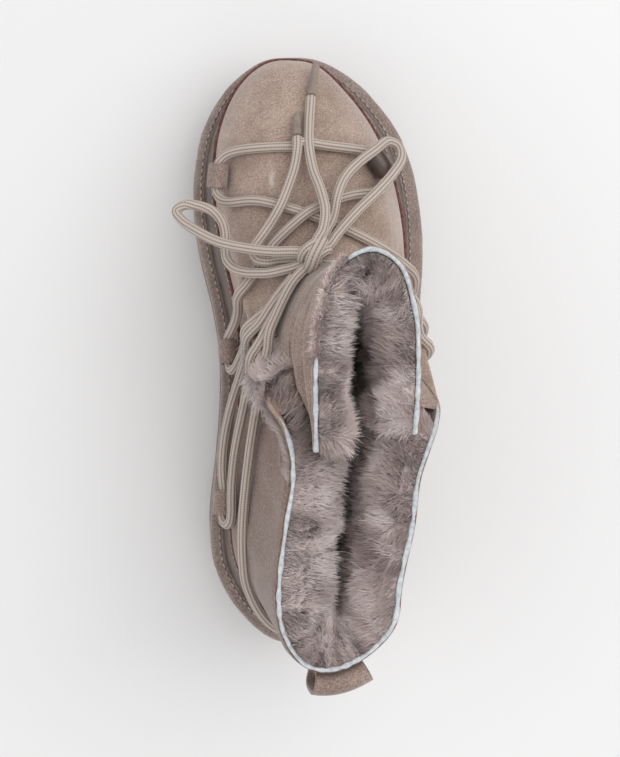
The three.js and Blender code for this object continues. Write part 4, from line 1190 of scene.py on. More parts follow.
@dataclass
class Tongue:
    """Front half of the shaft: a suede trough, with its pale cut edge."""

    columns: int = 250
    edge_run: float = 190.0
    wall_run: float = TONGUE_WALL

    def creases(self, along: Array, up: Array) -> Array:
        """Sum of soft troughs and ridges, fading at the top edge and the two ends."""
        along, up = np.broadcast_arrays(along, up)
        total = 0.2 * cloud(vector(along * self.edge_run, up * self.wall_run, 0 * up), 11.0, 41)
        for place, height, *shape in TONGUE_CREASES:
            total = total + bell((along - place) * self.edge_run, (up - height) * self.wall_run, *shape)
        return total * (1 - soft(0.9, 1.0, up)) * soft(0, 0.08, along) * (1 - soft(0.92, 1, along))

    def build(self) -> None:
        """The trough as a closed loop of points carried along its edge."""
        along = np.linspace(0, 1, self.columns + 1)[:, None]
        rows = np.linspace(0, 1, 56)
        ups, inner = there_and_back(rows, rows[::-1])
        outer = np.arange(ups.size) < rows.size
        lift = np.where(inner, -SUEDE, 0.0) + self.creases(along, ups) * outer
        grid = Last.tongue_point(along, ups, lift)
        draft = Draft()
        draft.grid(grid)
        draft.shut(grid, rows.size)
        piece = draft.lay("tongue_suede", TONGUE_SUEDE)
        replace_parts(piece, "tongue")
        self.gusset()
        self.cut_edge()

    def gusset(self) -> None:
        """Soft suede that joins the throat's top line to the tongue, bulged up a little between."""
        along = np.linspace(0.10, 0.90, 150)[:, None]
        rows = np.linspace(0, 1, 24)
        share, inner = there_and_back(rows, rows[::-1])
        under = inner[None, :] * 1.2
        root = TONGUE_ROOT.at(along)["round"]
        near = Last.point(root, np.full_like(root, 0.985), np.full_like(root, -1.0))
        far = Last.tongue_point(along, np.full_like(along, 0.42), np.full_like(along, -0.6))
        grid = near + (far - near) * share[..., None]
        rise = np.sin(np.pi * share) * 1.6 + 0.5 * cloud(grid, 6.0, 43) * np.sin(np.pi * share) - under
        grid = grid + vector(0 * rise, 0 * rise, rise)
        draft = Draft()
        draft.grid(grid)
        draft.shut(grid, rows.size)
        draft.lay("tongue_gusset", TONGUE_SUEDE)

    def cut_edge(self) -> None:
        """Pale cut edge along the tongue's top and a little way down its two ends."""
        along = np.linspace(0.0, 1, 500)
        down = np.linspace(0.80, 1, 60)[:-1]
        a = np.concatenate([0 * down, along, 0 * down + 1])[:, None]
        u = np.concatenate([down, along * 0 + 1, down[::-1]])[:, None]
        turn = np.linspace(0, 2 * np.pi, 17)[None, :]
        bare = 1 - 0.8 * soft(0.23, 0.27, a) * (1 - soft(0.42, 0.47, a))
        half = (SUEDE / 2 - 0.1 + 0.25 * cloud(vector(a * self.edge_run, u * 60, 0 * a), 5.0, 16)) * bare
        out = Last.tongue_frame(a, u)[2]
        middle = Last.tongue_point(a, u, np.full_like(a, -SUEDE / 2 - 0.35))[:, 0]
        run = unit(np.gradient(middle, axis=0))
        over = unit(np.cross(run, out[:, 0]))
        over *= np.sign((over * (middle - [18, -5, 120])).sum(-1, keepdims=True))
        thick = (0.75 + 0.16 * cloud(vector(a * self.edge_run, turn, 0 * a), 2.0, 17)) * bare
        grid = (middle[:, None] + out * (half * np.cos(turn))[..., None]
                + over[:, None] * (0.45 + thick * np.sin(turn))[..., None])
        draft = Draft()
        draft.grid(grid)
        for end in (0, -1):
            draft.fan(grid[end], grid[end].mean(0))
        draft.lay("tongue_cut_edge", CUT_EDGE)


@dataclass
class Wool:
    """Grows hair on a surface, in soft tufts that lean together."""

    length: float
    width: float
    tuft: float
    seed: int
    splay: float = 0.6
    gather: float = 0.35
    droop: float = 0.22

    def grow(self, name: str, root: Array, axes: tuple[Array, Array, Array], place: Array, reach: Array,
             lie: Array) -> bpy.types.Object:
        """Hairs as flat ribbons that bend from the surface's normal towards their tuft's tip.

        Each point is the root plus the hair's length times its direction, bent by the square of
        the share along it, and drawn to the tuft's middle by a power of that share.

        Args:
            name: the piece's name.
            root: where each hair grows, (hair, 3).
            axes: unit vectors along the surface, up it, and out of it into the pile.
            place: position on the surface in millimetres, (hair, 2).
            reach: length of each hair as a share of the full length.
            lie: extra direction that the hairs are combed in, (hair, 3).

        Returns:
            The piece.
        """
        along, rise, out = axes
        rng = np.random.default_rng(self.seed)
        count = len(root)
        cell = np.floor(place / self.tuft).astype(np.int64)
        best = np.full(count, 1e9)
        centre = np.zeros((count, 2))
        home = np.zeros((count, 2), dtype=np.int64)
        for step in np.stack(np.meshgrid([-1, 0, 1], [-1, 0, 1]), -1).reshape(-1, 2):
            near = cell + step
            spot = (near + np.stack([hashed(near, self.seed), hashed(near, self.seed + 1)], -1)) * self.tuft
            gap = ((spot - place) ** 2).sum(-1)
            closer = gap < best
            best = np.where(closer, gap, best)
            centre = np.where(closer[:, None], spot, centre)
            home = np.where(closer[:, None], near, home)
        pull = along * (centre - place)[:, :1] + rise * (centre - place)[:, 1:]
        swirl = np.stack([cloud(place, 18.0, self.seed + i) for i in (4, 5)], -1)
        own = np.stack([hashed(home, self.seed + i) - 0.5 for i in (2, 3)], -1)
        lean = (swirl * 1.1 + own * 1.1) * self.splay
        way = unit(out + along * lean[:, :1] + rise * lean[:, 1:] + rng.normal(0, 0.2, (count, 3)) + lie)
        size = self.length * reach * (0.75 + 0.35 * hashed(home, self.seed + 6))
        size = size * rng.uniform(0.7, 1.15, count)
        bend = unit(rng.normal(0, 1, (count, 3)) + along * lean[:, :1] * 3 + rise * lean[:, 1:] * 3) * 0.32
        bend = bend - [0, 0, self.droop]
        t = np.array([0.0, 0.55, 1.0])[None, :, None]
        path = (root[:, None] + way[:, None] * t * size[:, None, None]
                + bend[:, None] * t**2 * size[:, None, None] + pull[:, None] * t**1.4 * self.gather)
        shine = unit(out * 0.8 + [0, 0, 0.7] + way * 0.25)
        side = unit(np.cross(path[:, -1] - path[:, 0], shine))
        broad = self.width * rng.uniform(0.6, 1.3, count)[:, None, None]
        broad = broad * np.array([1.0, 0.85])[None, :, None] / 2
        left, right = path[:, :-1] - side[:, None] * broad, path[:, :-1] + side[:, None] * broad
        # Tone: each tuft's own random tone plus clouds that paint shade and highlight over the tufts.
        tone = np.clip(0.55 + 0.30 * (hashed(home, self.seed + 7) - 0.5)
                       + 0.32 * cloud(place, 9.0, self.seed + 8) + 0.22 * cloud(place, 4.5, self.seed + 9)
                       + rng.normal(0, 0.07, count), 0, 1)
        # The tip mask runs from the root's painted shade to the pale tip; short hairs stay nearer the root's
        # colour.
        tip = np.broadcast_to(t[:, :, 0], (count, 3)) * (0.7 + 0.3 * tone[:, None])
        tip = tip * np.reshape(reach, (-1, 1))
        draft = Draft()
        draft.spikes(left, right, path[:, -1], tip=tip, tone=np.broadcast_to(tone[:, None], (count, 3)))
        return draft.lay(name, WOOL, closed=False, normals=np.repeat(shine, 5, axis=0))


def lay_skin(name: str, solid: str, grid: Array, near: int, far: int, seed: int) -> None:
    """Lay the dense wool under the hair as a closed loop of points, with both ends filled in.

    Args:
        name: the piece's name.
        solid: the frame's node that it replaces.
        grid: points (place along, loop, 3), near the leather first and then over the wool.
        near: number of points of the loop that lie near the leather.
        far: number that lie over the wool.
        seed: picks the pattern of its tone.
    """
    draft = Draft()
    # The tip mask of 0.55, and 0.35 on the two ends, darkens the skin towards the root colour: painted shade
    # under the hair.
    draft.grid(grid, tip=0.55, tone=0.55 + 0.4 * cloud(grid, 7.0, seed))
    rows = np.linspace(0, far - 1, near).astype(int)
    for end in (0, -1):
        face = np.stack([grid[end, :near], grid[end, near:near + far][::-1][rows]])
        draft.grid(face, tip=0.35, tone=0.5)
    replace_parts(draft.lay(name, SHADED_WOOL_SKIN), solid)


@dataclass
class CollarWool:
    """Fleece of the quarter: a rolling skin of dense wool with hair on it."""

    skin_from: float = 0.23
    skin_to: float = 0.77
    hairs: int = 34000
    corner_from: float = -0.266
    corner_to: float = -0.180
    corner_drop: float = 0.30
    corner_spill: float = 0.42
    corner_hairs: int = 16000

    @staticmethod
    def depth(round_: Array, up: Array) -> Array:
        """Thickness of the dense wool: fuller at the medial side, thin in front beside the tongue.

        It dips on each side of the heel, noise of two sizes rolls it in tufts, and a soft step
        takes it back to the cut edge at the rim.
        """
        round_ = np.asarray(round_, float)
        place = vector(round_ * COLLAR_RUN, up * COLLAR_WALL, 0 * up)
        roll = 1.6 + 1.8 * cloud(place, 9.0, 51) + 0.9 * cloud(place, 4.5, 53)
        aside = np.abs(round_ - 0.5)
        full = FLEECE + 2.4 - 2.4 * soft(0.10, 0.19, aside)
        full = full - 5.0 * soft(0.02, 0.05, aside) * (1 - soft(0.09, 0.15, aside))
        full = full + 4.6 * soft(0.5, 0.6, round_) + 2.4 * soft(0.62, 0.70, round_)
        ample = soft(0.205, 0.245, round_) * (1 - soft(0.745, 0.785, round_))
        return (1.5 + (full - 1.5 + roll) * ample) * (1 - 0.6 * soft(0.86, 1.0, up) ** 2)

    def skin(self) -> None:
        """The dense wool under the hair."""
        round_ = np.linspace(self.skin_from, self.skin_to, 320)[:, None]
        near, far = np.linspace(0.42, 1, 10), np.linspace(1, 0.42, 64)
        ups, inner = there_and_back(near, far)
        grid = Last.point(round_, ups, -SUEDE - GAP - np.where(inner, self.depth(round_, ups), 0))
        lay_skin("collar_fleece_skin", "collar_fleece", grid, near.size, far.size, 52)

    def hair(self) -> None:
        """Hair on the skin, thickest near the rim, in two pieces."""
        rng = np.random.default_rng(61)
        k = self.hairs
        halves = (("collar_wool_lateral", 0.222, 0.5, 62), ("collar_wool_medial", 0.5, 0.778, 63))
        for name, low, high, seed in halves:
            round_ = rng.uniform(low, high, k)
            up = 1.004 - 0.56 * rng.power(1.0, k) ** 1.5
            at_rim = up > 0.985
            lift = -SUEDE - GAP - self.depth(round_, up) * np.where(at_rim, rng.uniform(0.0, 1, k), 1)
            root = Last.point(round_, up, lift + 1.2)
            along, rise, out = Last.frame_at(round_, up)
            rim = soft(0.88, 1.0, up)[:, None]
            lie = vector(0 * up, 0 * up, 1.0) * rim * 0.9 - rise * 0.3 * (1 - rim)
            reach = np.where(at_rim, 0.85, 1.0)
            place = np.stack([round_ * COLLAR_RUN, up * COLLAR_WALL], -1)
            Wool(6.8, 0.42, 5.5, seed).grow(name, root, (along, rise, -out), place, reach, lie)

    def corner(self) -> None:
        """Wool in the medial front corner, of which a part rolls out over the edge."""
        rng = np.random.default_rng(71)
        k = self.corner_hairs
        round_ = rng.uniform(self.corner_from, self.corner_to, k)
        outside = rng.uniform(0, 1, k) < self.corner_spill
        up = 1.0 - np.where(outside, self.corner_drop / 2, self.corner_drop) * rng.power(1.2, k)
        root = Last.point(round_, up, np.where(outside, 0.1, -SUEDE - rng.uniform(0, 6, k)))
        along, rise, out = Last.frame_at(round_, up)
        axes = (along, rise, out * np.where(outside, 1.0, -1.0)[:, None])
        place = np.stack([round_ * COLLAR_RUN, up * COLLAR_WALL], -1)
        lie = rise * np.where(outside, 0.2, 0.8)[:, None] + vector(0 * up, 0.3, 0.5)
        reach = np.where(outside, 0.5 - 0.3 * soft(0.235, 0.255, np.abs(round_)), 1.0)
        Wool(9.0, 0.42, 6.0, 72, droop=0.1).grow("quarter_corner_wool_medial", root, axes, place, reach, lie)

    def build(self) -> None:
        """Skin, hair and the rolled-out corner."""
        self.skin()
        self.hair()
        self.corner()


@dataclass
class TongueWool:
    """Fleece inside the tongue."""

    hairs: int = 34000

    @staticmethod
    def depth(along: Array, up: Array) -> Array:
        """Thickness of the dense wool, rolling in tufts of two sizes and thinner at the rim."""
        place = vector(along * TONGUE_RUN, up * TONGUE_WALL, 0 * up)
        roll = 1.5 + 1.8 * cloud(place, 8.5, 81) + 0.9 * cloud(place, 4.5, 83)
        return (TONGUE_FLEECE + 1.5 + roll) * (1 - 0.55 * soft(0.86, 1.0, up) ** 2)

    def skin(self) -> None:
        """The dense wool under the hair."""
        along = np.linspace(1 / 22, 21 / 22, 220)[:, None]
        near, far = np.linspace(1 / 6, 1, 10), np.linspace(1, 1 / 6, 60)
        ups, inner = there_and_back(near, far)
        grid = Last.tongue_point(along, ups, -SUEDE - 2 * GAP - np.where(inner, self.depth(along, ups), 0))
        lay_skin("tongue_fleece_skin", "tongue_fleece", grid, near.size, far.size, 82)

    def build(self) -> None:
        """Skin, hair, hair past the tongue's two ends, and hair that rolls over the edge in front."""
        self.skin()
        rng = np.random.default_rng(91)
        k = self.hairs
        ends = rng.uniform(0, 1, k) < 0.14
        a = np.where(ends, np.where(rng.uniform(0, 1, k) < 0.5, rng.uniform(0.005, 0.06, k),
                                    rng.uniform(0.94, 0.995, k)), rng.uniform(0.03, 0.97, k))
        up = 1.004 - 0.82 * rng.power(1.0, k) ** 1.5
        inside = np.where((up > 0.985) | ends, rng.uniform(0.0, 1, k), 1)
        spill = rng.uniform(0, 1, k) < 0.13
        a = np.where(spill, rng.uniform(0.235, 0.45, k), a)
        up = np.where(spill, rng.uniform(0.96, 1.0, k), up)
        root = Last.tongue_point(a, up, np.where(spill, -rng.uniform(0, SUEDE, k),
                                                 1.2 - SUEDE - 2 * GAP - self.depth(a, up) * inside))
        along, rise, out = Last.tongue_frame(a, up)
        rim = soft(0.88, 1.0, up)[:, None]
        lie = vector(0 * up, 0 * up, 1.0) * rim * 0.9 - rise * 0.3 * (1 - rim)
        lie = lie + along * (np.sign(a - 0.5) * ends * 1.3)[:, None]
        lie = lie + out * (spill * rng.uniform(0.2, 2.0, k))[:, None]
        place = np.stack([a * TONGUE_RUN, up * TONGUE_WALL], -1)
        reach = np.where(spill, 0.6, 1.0)
        Wool(7.0, 0.4, 6.0, 92).grow("tongue_wool", root, (along, rise, -out), place, reach, lie)


@dataclass(frozen=True)
class Keeper:
    """A folded strap sewn to the upper that holds the lace."""

    name: str
    round_: float
    up: float
    leg: float
    finish: Finish

    def frame(self) -> tuple[Array, Array, Array, Array, Array]:
        """Along the lace, out of the upper, down the wall, the foot and the lace's place."""
        along, _, out = Last.frame_at(np.array(self.round_), np.array(self.up))
        down = unit(np.cross(out, along))
        foot = Last.point(np.array(self.round_), np.array(self.up), np.array(TAB_GAP))
        return along, out, down, foot, foot + out * (TAB_THICK + KEEPER_HOLE)

    def through(self, way: int) -> Array:
        """Three points straight through the keeper."""
        along, _, _, _, centre = self.frame()
        return centre + np.array([[-1], [0], [1]]) * along * way * (TAB_WIDTH / 2 + KEEPER_RUN)

    def build(self) -> None:
        """A strap section with round edges, carried down one leg, round the lace and back."""
        along, out, down, foot, _ = self.frame()
        middle = KEEPER_HOLE + TAB_THICK / 2
        top = KEEPER_HOLE + TAB_THICK
        start = math.asin((top - 1.5 * TAB_THICK) / middle)
        turn = np.linspace(-np.pi / 2, -2 * np.pi - start, 44)
        arc = np.stack([middle * np.cos(turn), top + middle * np.sin(turn)], -1)
        leg = np.linspace(self.leg, 0.4, 10)
        low = np.stack([leg, 0 * leg + TAB_THICK / 2], -1)
        high = np.stack([np.linspace(arc[-1, 0] + 0.4, self.leg, 8), np.full(8, 1.5 * TAB_THICK)], -1)
        flat = np.concatenate([low, arc, high])
        path = foot + flat[:, :1] * down + flat[:, 1:] * out
        run = unit(np.gradient(path, axis=0))
        face = np.cross(run, along)
        angle = np.linspace(0, 2 * np.pi, 25)
        wide = np.sign(np.cos(angle)) * np.abs(np.cos(angle)) ** 0.35 * TAB_WIDTH / 2
        thick = np.sign(np.sin(angle)) * np.abs(np.sin(angle)) ** 0.6 * TAB_THICK / 2
        grid = path[:, None] + along * wide[None, :, None] + face[:, None] * thick[None, :, None]
        draft = Draft()
        draft.grid(grid)
        for end in (0, -1):
            draft.fan(grid[end], path[end])
        piece = draft.lay(f"{self.name}_strap", self.finish)
        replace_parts(piece, self.name)


MEDIAL_FRONT = Keeper("keeper_medial_front", -0.135, 0.43, 6.5, STRAP_SUEDE)
MEDIAL_MID = Keeper("keeper_medial_mid", -0.2525, 0.17, 5, STRAP_SUEDE)
MEDIAL_REAR = Keeper("keeper_medial_rear", -0.333, 0.27, 8, STRAP_SUEDE)
LATERAL_FRONT = Keeper("keeper_lateral_front", 0.09, 0.58, 7, RAND_LEATHER)
LATERAL_MID = Keeper("keeper_lateral_mid", 0.2525, 0.17, 5, STRAP_SUEDE)
LATERAL_REAR = Keeper("keeper_lateral_rear", 0.333, 0.27, 8, STRAP_SUEDE)

LOW = 3.2
OVER = 6.5


@dataclass(frozen=True)
class OnUpper:
    """Rows of a share round, a share up and a lift off the upper, in millimetres."""

    rows: tuple[tuple[float, float, float], ...]

    def points(self) -> Array:
        """The rows as points."""
        cells = np.array(self.rows)
        return Last.point(cells[:, 0], cells[:, 1], cells[:, 2])


@dataclass(frozen=True)
class Over:
    """Points that a strand passes where it spans from one place to the next."""

    rows: tuple[tuple[float, float, float], ...]

    def points(self) -> Array:
        """The rows as points."""
        return np.array(self.rows)


@dataclass(frozen=True)
class Held:
    """A keeper that the strand runs through; way is 1 where it runs as the shares round count."""

    keeper: Keeper
    way: int

    def points(self) -> Array:
        """Three points straight through the keeper."""
        return self.keeper.through(self.way)


STRAND_LATERAL = (
    OnUpper((
        (-0.02, 0.995, LOW), (0.04, 0.995, LOW), (0.095, 0.97, LOW), (0.14, 0.90, 4.5), (0.166, 0.82, 5.2),
        (0.19, 0.72, 5), (0.218, 0.58, 4.2), (0.245, 0.44, LOW), (0.262, 0.33, LOW), (0.272, 0.25, 4.2),
        (0.271, 0.17, 5),
    )),
    Held(LATERAL_MID, -1),
    OnUpper((
        (0.228, 0.26, LOW), (0.20, 0.45, 4), (0.18, 0.57, 4.4), (0.158, 0.68, 4), (0.11, 0.83, LOW),
        (0.061, 0.887, LOW), (0.014, 0.887, LOW), (-0.024, 0.849, LOW), (-0.066, 0.77, LOW),
        (-0.10, 0.66, LOW), (-0.1125, 0.628, LOW), (-0.13, 0.57, LOW), (-0.146, 0.488, 4.2),
        (-0.1525, 0.425, 4.2),
    )),
    Held(MEDIAL_FRONT, 1),
    OnUpper((
        (-0.1195, 0.43, 4.5), (-0.1065, 0.465, 4), (-0.0925, 0.52, LOW), (-0.0745, 0.578, LOW),
        (-0.0445, 0.638, LOW), (-0.01, 0.67, LOW),
    )),
)

STRAND_MEDIAL = (
    OnUpper(((-0.02, 0.665, LOW), (0.02, 0.66, LOW), (0.055, 0.62, 4))),
    Held(LATERAL_FRONT, 1),
    OnUpper((
        (0.085, 0.70, 4), (0.053, 0.753, LOW), (0.022, 0.815, 5), (-0.008, 0.845, OVER), (-0.034, 0.862, 5.5),
        (-0.061, 0.858, LOW), (-0.10, 0.83, LOW),
    )),
    Over(((-25.6, 32.1, 95), (-28.6, 25.6, 91), (-30.6, 20.6, 84), (-32.5, 13.8, 72), (-35.0, 7.7, 61))),
    Held(MEDIAL_MID, -1),
    Over((
        (-35.7, -10.4, 58), (-34.1, -11.3, 62), (-32.0, -7.2, 70), (-29.7, -1.0, 82), (-27.5, 4.9, 97),
        (-24.1, 11.8, 102), (-17.3, 19.2, 105), (-9.9, 26.6, 107), (-4.3, 33.1, 108), (3.6, 37.0, 108),
    )),
)

STRAND_REAR = (
    Over((
        (-6.9, 30.0, 108), (-12.6, 23.9, 107.5), (-16.5, 18.2, 107), (-20.8, 11.7, 105.5), (-24.6, 5.2, 103),
        (-27.8, -1.2, 94), (-32.3, -15.9, 80), (-36.6, -31.6, 70), (-38.9, -46.9, 67), (-39.4, -59.6, 69),
    )),
    Held(MEDIAL_REAR, -1),
    Over((
        (-38.7, -80.7, 70.5), (-36.7, -83.7, 73), (-35.0, -79.2, 77), (-35.2, -69.1, 78), (-35.0, -61.4, 78),
        (-33.7, -46.3, 80), (-30.7, -31.2, 86), (-28.0, -15.9, 98), (-25.0, -2.8, 112), (-20.1, 9.4, 109),
        (-13.9, 19.5, 108.5), (-7.9, 28.2, 109),
    )),
)

STRAND_HEEL = (
    Over((
        (-1.7, 33.5, 109), (-5.7, 29.0, 109.5), (-10.1, 21.2, 110), (-14.5, 12.4, 110.5), (-19.4, -0.7, 112),
        (-22.7, -15.9, 109), (-25.4, -30.9, 99), (-27.5, -45.6, 96), (-29.2, -60.3, 95), (-30.6, -75.3, 96),
        (-31.0, -89.9, 96), (-29.5, -103.9, 91),
    )),
    OnUpper((
        (-0.42, 0.36, LOW), (-0.455, 0.26, 3.8), (-0.5, 0.22, 4.2), (-0.545, 0.24, LOW), (-0.59, 0.30, LOW),
        (-0.625, 0.31, 4.5),
    )),
    Held(LATERAL_REAR, -1),
    OnUpper((
        (0.314, 0.25, 5.2), (0.295, 0.25, 4), (0.261, 0.356, LOW), (0.228, 0.60, 4), (0.203, 0.74, 5),
        (0.18, 0.85, 5.2), (0.14, 0.93, 4.5), (0.10, 0.962, LOW), (0.05, 0.985, LOW),
    )),
)

# Bow: each route is a list of chosen points
KNOT_STRANDS = [
    [[-4.6, 36.8, 108.5], [-5.6, 38.6, 113.6], [-4.2, 41.6, 117.4], [-0.6, 44.2, 117.6], [2.2, 45.2, 113.4],
     [2.6, 44.6, 109]],
    [[-0.8, 34.2, 108.5], [-1.4, 35.4, 113.8], [0.2, 38.2, 117.6], [3.2, 40.8, 117.4], [5.6, 42, 113.2],
     [5.8, 41.4, 109]],
    [[3.4, 46.6, 112], [1.2, 43, 118.2], [-0.8, 39, 119.4], [-1.8, 35.6, 117.2], [-2.2, 33.8, 112.4]],
]

LOOP_LATERAL = [
    [1.5, 40.5, 113.6], [6.6, 44.4, 112.8], [9.6, 48.5, 110.4], [18.8, 59.3, 106], [28.8, 69.1, 102],
    [36.6, 78, 97], [40.6, 85, 92], [39.6, 91, 88], [35, 93, 89], [28.2, 88, 94.4], [19.6, 81, 98.5],
    [13.5, 73.8, 103], [10.3, 65.9, 106.6], [8.3, 56.8, 107.5], [5.6, 51, 109.4], [3.8, 46.6, 110.8],
    [0.8, 41.2, 111.6],
]

LOOP_MEDIAL = [
    [-0.8, 40.4, 113.6], [-7.6, 41.2, 113], [-17.5, 41.3, 110.6], [-28.6, 42.8, 106.4],
    [-40.7, 46, 99.6], [-51.3, 51.9, 92.4], [-57.4, 56.6, 88.4], [-60, 61, 87],
    [-56.4, 63.8, 87], [-50, 63.4, 87], [-43.7, 61, 87],
    [-39.8, 56.6, 87], [-38.4, 51.4, 87.6], [-38.2, 45.5, 88.6], [-37.6, 39.6, 90], [-34.6, 35.2, 93.4],
    [-29.6, 33, 98], [-24.5, 32.4, 102.4], [-18.9, 32.4, 105.8], [-13, 33.6, 108], [-7.6, 35, 110.4],
    [-1.6, 38, 112],
]

END_LONG = [
    [-0.6, 40.4, 115.4], [0.6, 45.6, 116.6], [3.3, 50.6, 115.2], [4.6, 59.1, 113], [3, 68.8, 107.5],
    [0.3, 78, 101.4], [-1.3, 88.3, 98], [-0.9, 98.9, 91.5], [0, 108, 86.6], [0.6, 114, 83.8],
]

END_SHORT = [
    [-2.4, 39.4, 109.6], [-7.5, 38.2, 106], [-13.2, 38, 102.4], [-20.1, 37.2, 103], [-24.4, 38.6, 101],
    [-26, 42.8, 99.4], [-23.4, 47.4, 98.4], [-18.9, 54, 98.6],
    [-14.2, 62.3, 101], [-9.6, 73.7, 98], [-7.2, 82, 96.8],
    [-6.4, 88.6, 97], [-6.4, 94, 94.6],
]


@dataclass
class Lacing:
    """The braided lace: strands through the keepers, and the bow with its loops and ends."""

    sides: int = 24
    step: float = 0.9
    passes: int = 26
    rib_depth: float = 0.12
    aglets: dict[str, tuple] = field(default_factory=lambda: {
        "aglet_long": ((0.16, 0.9, -0.4), 18.0),
        "aglet_short": ((0.04, 0.86, -0.5), 13.0),
    })
    strands: list[Array] = field(default_factory=list)
    laid: list[KDTree] = field(default_factory=list)

    def braid(self, draft: Draft, path: Array, wide: float = 1.0) -> None:
        """Add a ribbed tube with round ends along a path.

        The radius is the lace's half width less a trough between ribs, shrunk at the two ends by
        a quarter circle.

        Args:
            draft: where the tube is added.
            path: stations of the lace's middle.
            wide: share of the lace's own width, above 1 where it is pressed flat.
        """
        run = run_along(path)
        turn = np.linspace(0, 1, self.sides + 1)
        rib = np.abs(np.sin(np.pi * LACE_BRAID.ribs * turn))
        near = np.minimum(run, run[-1] - run)
        close = np.sqrt(np.clip(near / 1.2 * (2 - near / 1.2), 0, 1)) * (near < 1.2) + (near >= 1.2)
        radius = (LACE / 2 - self.rib_depth * (1 - rib))[None, :] * close[:, None] * wide
        u, v = np.broadcast_arrays(run[:, None], turn[None, :])
        draft.grid(tube(path, radius, self.sides, away_from_foot(path)), uv=np.stack([u, v], -1))

    def strand(self, parts: tuple) -> Array:
        """Stations of a strand that lies on the upper and runs through its keepers, pulled tight."""
        points = [part.points() for part in parts]
        keepers = [found[1] for part, found in zip(parts, points) if isinstance(part, Held)]
        return self.pulled(smooth_path(np.concatenate(points), 2.0), np.array(keepers))

    def pulled(self, path: Array, keepers: Array) -> Array:
        """Draw each station towards its neighbours' middle, then out of the upper and earlier strands.

        Args:
            path: stations about 2 mm apart.
            keepers: middles of the keepers, where the strand is held.

        Returns:
            The tightened path at the lace's own step.
        """
        gap = np.linalg.norm(path[:, None] - keepers, axis=-1).min(1)
        loose = (0.1 + 0.4 * soft(8, 18, gap)) * (gap > 6.6)
        path = path.copy()
        for _ in range(self.passes):
            path[1:-1] += ((path[:-2] + path[2:]) / 2 - path[1:-1]) * loose[1:-1, None]
            for i in np.flatnonzero(loose):
                nearest = self.skin.find(path[i])[1]
                normal = self.normals[nearest]
                lift = float((path[i] - self.places[nearest]) @ normal)
                path[i] += normal * max(LACE / 2 + 0.1 - lift, 0)
                if self.laid:
                    apart = self.laid[-1].find(path[i])[2]
                    path[i] += normal * max(LACE * 0.94 - apart, 0) * 0.7
        for _ in range(3):
            path[1:-1] += ((path[:-2] + path[2:]) / 2 - path[1:-1]) * loose[1:-1, None]
        kept = path[::2] if len(path) % 2 else np.concatenate([path[:-1:2], path[-1:]])
        return smooth_path(kept, self.step)

    def lie_on(self) -> None:
        """Places on the upper with their normals, ready to be searched by the nearest one."""
        round_, up = np.meshgrid(np.linspace(0, 1, 300, endpoint=False), np.linspace(0, 1, 64), indexing="ij")
        self.places = Last.face(round_, up).reshape(-1, 3)
        self.normals = Last.frame_at(round_, up)[2].reshape(-1, 3)
        self.skin = self.searched(self.places)

    @staticmethod
    def searched(points: Array) -> KDTree:
        """Points in a tree that finds the nearest one."""
        tree = KDTree(len(points))
        for i, point in enumerate(points):
            tree.insert(point, i)
        tree.balance()
        return tree

    def crossings(self) -> None:
        """The four strands, of which the first stands for the joined solid."""
        self.lie_on()
        for name, rows in (("lateral", STRAND_LATERAL), ("medial", STRAND_MEDIAL), ("rear", STRAND_REAR),
                           ("heel", STRAND_HEEL)):
            draft = Draft()
            path = self.strand(rows)
            self.strands.append(path)
            self.laid.append(self.searched(np.concatenate(self.strands)))
            self.braid(draft, path)
            piece = draft.lay(f"lace_strand_{name}", LACE_BRAID)
            if name == "lateral":
                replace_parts(piece, "lace_crossings")

    def knot(self) -> bpy.types.Object:
        """The knot's three turns in one piece."""
        draft = Draft()
        for rows, wide in zip(KNOT_STRANDS, (1.0, 1.0, 1.32)):
            self.braid(draft, smooth_path(rows, self.step), wide)
        piece = draft.lay("lace_knot_tied", LACE_BRAID)
        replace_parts(piece, "lace_knot")
        return piece

    def aglet(self, name: str, start: list[float]) -> bpy.types.Object:
        """Shrunk film sleeve: a tube that tapers a little and closes with a rounded tip."""
        way, length = self.aglets[name]
        along = unit(np.array(way))
        share = np.linspace(0, 1, 40)
        path = np.array(start) + along * (GAP + share[:, None] * length)
        taper = np.interp(share, [0, 0.02, 0.05, 0.93, 0.98, 1.0], [0.2, 0.93, 1.0, 0.86, 0.6, 0.02])
        radius = 1.95 * taper + 0.03 * np.sin(share * 40)
        turn = np.linspace(0, 2 * np.pi, 25)
        radius = radius[:, None] * (1 + 0.03 * np.cos(2 * turn))[None, :]
        draft = Draft()
        grid = tube(path, radius, 24, np.broadcast_to([0.0, 0.3, 1.0], path.shape))
        draft.grid(grid)
        for end in (0, -1):
            draft.fan(grid[end], path[end])
        piece = draft.lay(f"{name}_sleeve", AGLET_FILM)
        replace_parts(piece, name)
        return piece

    def free(self, name: str, rows: list, far_end: str, lay: str, pieces: list) -> None:
        """A loop or end of the bow, laid as a braided tube in place of the frame's part."""
        path = smooth_path(rows, self.step)
        draft = Draft()
        self.braid(draft, path)
        piece = draft.lay(f"{name}_braid", LACE_BRAID)
        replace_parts(piece, name)

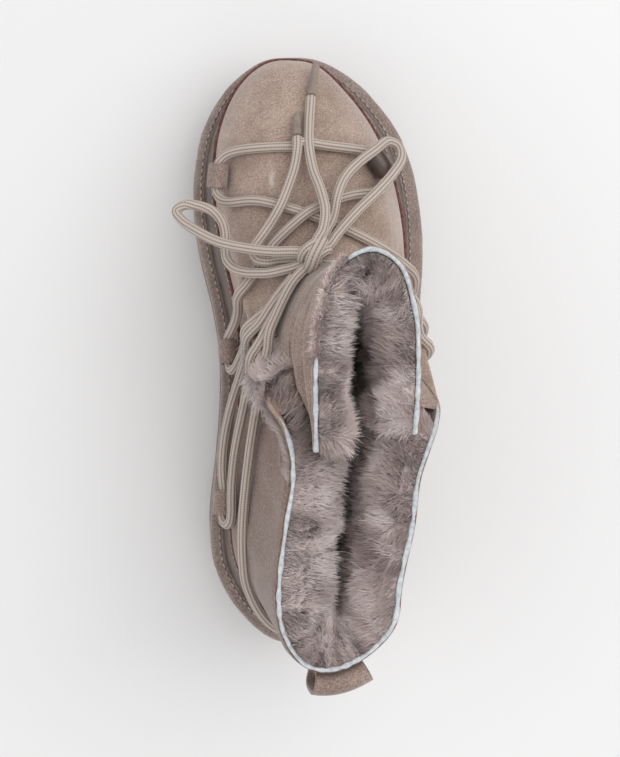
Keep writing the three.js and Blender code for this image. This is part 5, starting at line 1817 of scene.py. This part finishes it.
    def build(self) -> None:
        """Cords first, then the strands that the keepers hold."""
        knot = self.knot()
        self.free("lace_loop_medial", LOOP_MEDIAL, "object", "loose", [knot])
        self.free("lace_loop_lateral", LOOP_LATERAL, "object", "loose", [])
        self.free("lace_end_long", END_LONG, "fitting", "loose", [self.aglet("aglet_long", END_LONG[-1])])
        self.free("lace_end_short", END_SHORT, "fitting", "loose", [self.aglet("aglet_short", END_SHORT[-1])])
        self.crossings()


@dataclass
class PullTab:
    """Folded strap across the back of the collar, open at both sides."""

    round_: float = 0.480
    reach: float = 0.034
    depth: float = 10.5
    height: float = 0.21
    top: float = 0.985
    up_per_mm: float = 0.0085

    def section(self, round_: Array, thick: float, turns: int) -> Array:
        """Squared-off oval of the loop, drawn in by the strap's thickness."""
        angle = np.linspace(0, 2 * np.pi, turns + 1)[None, :]
        side = np.sign(np.cos(angle)) * np.abs(np.cos(angle)) ** 0.7
        rise = np.sign(np.sin(angle)) * np.abs(np.sin(angle)) ** 0.7
        half = self.depth / 2 - thick
        up = self.top - self.height / 2 + (self.height / 2 - thick * self.up_per_mm) * rise
        return Last.point(round_, up + 0 * round_, 2 * GAP + self.depth / 2 + half * side + 0 * round_)

    def build(self) -> None:
        """Outer and inner skins, joined at the strap's two edges."""
        across = np.linspace(self.round_ - self.reach, self.round_ + self.reach, 40)[:, None]
        outer, inner = self.section(across, 0, 72), self.section(across, TAB_THICK, 72)
        draft = Draft()
        draft.grid(outer)
        draft.grid(inner)
        for end in (0, -1):
            draft.grid(np.stack([outer[end], inner[end]]))
        piece = draft.lay("pull_tab_strap", STRAP_SUEDE)
        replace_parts(piece, "pull_tab")


def main() -> None:
    """Build the boot's sub-assemblies in order and report each one."""
    logging.basicConfig(level=logging.INFO, format="%(name)s %(message)s")
    studio = Studio()
    studio.camera()
    Lacing().build()
    for keeper in (MEDIAL_FRONT, MEDIAL_MID, MEDIAL_REAR, LATERAL_FRONT, LATERAL_MID, LATERAL_REAR):
        keeper.build()
    for assembly in (Sole(), Upper(), Tongue(), CollarWool(), TongueWool(), PullTab()):
        assembly.build()
        log.info("%s done", type(assembly).__name__)
    studio.floor()
    studio.light()


if __name__ == "__main__":
    main()
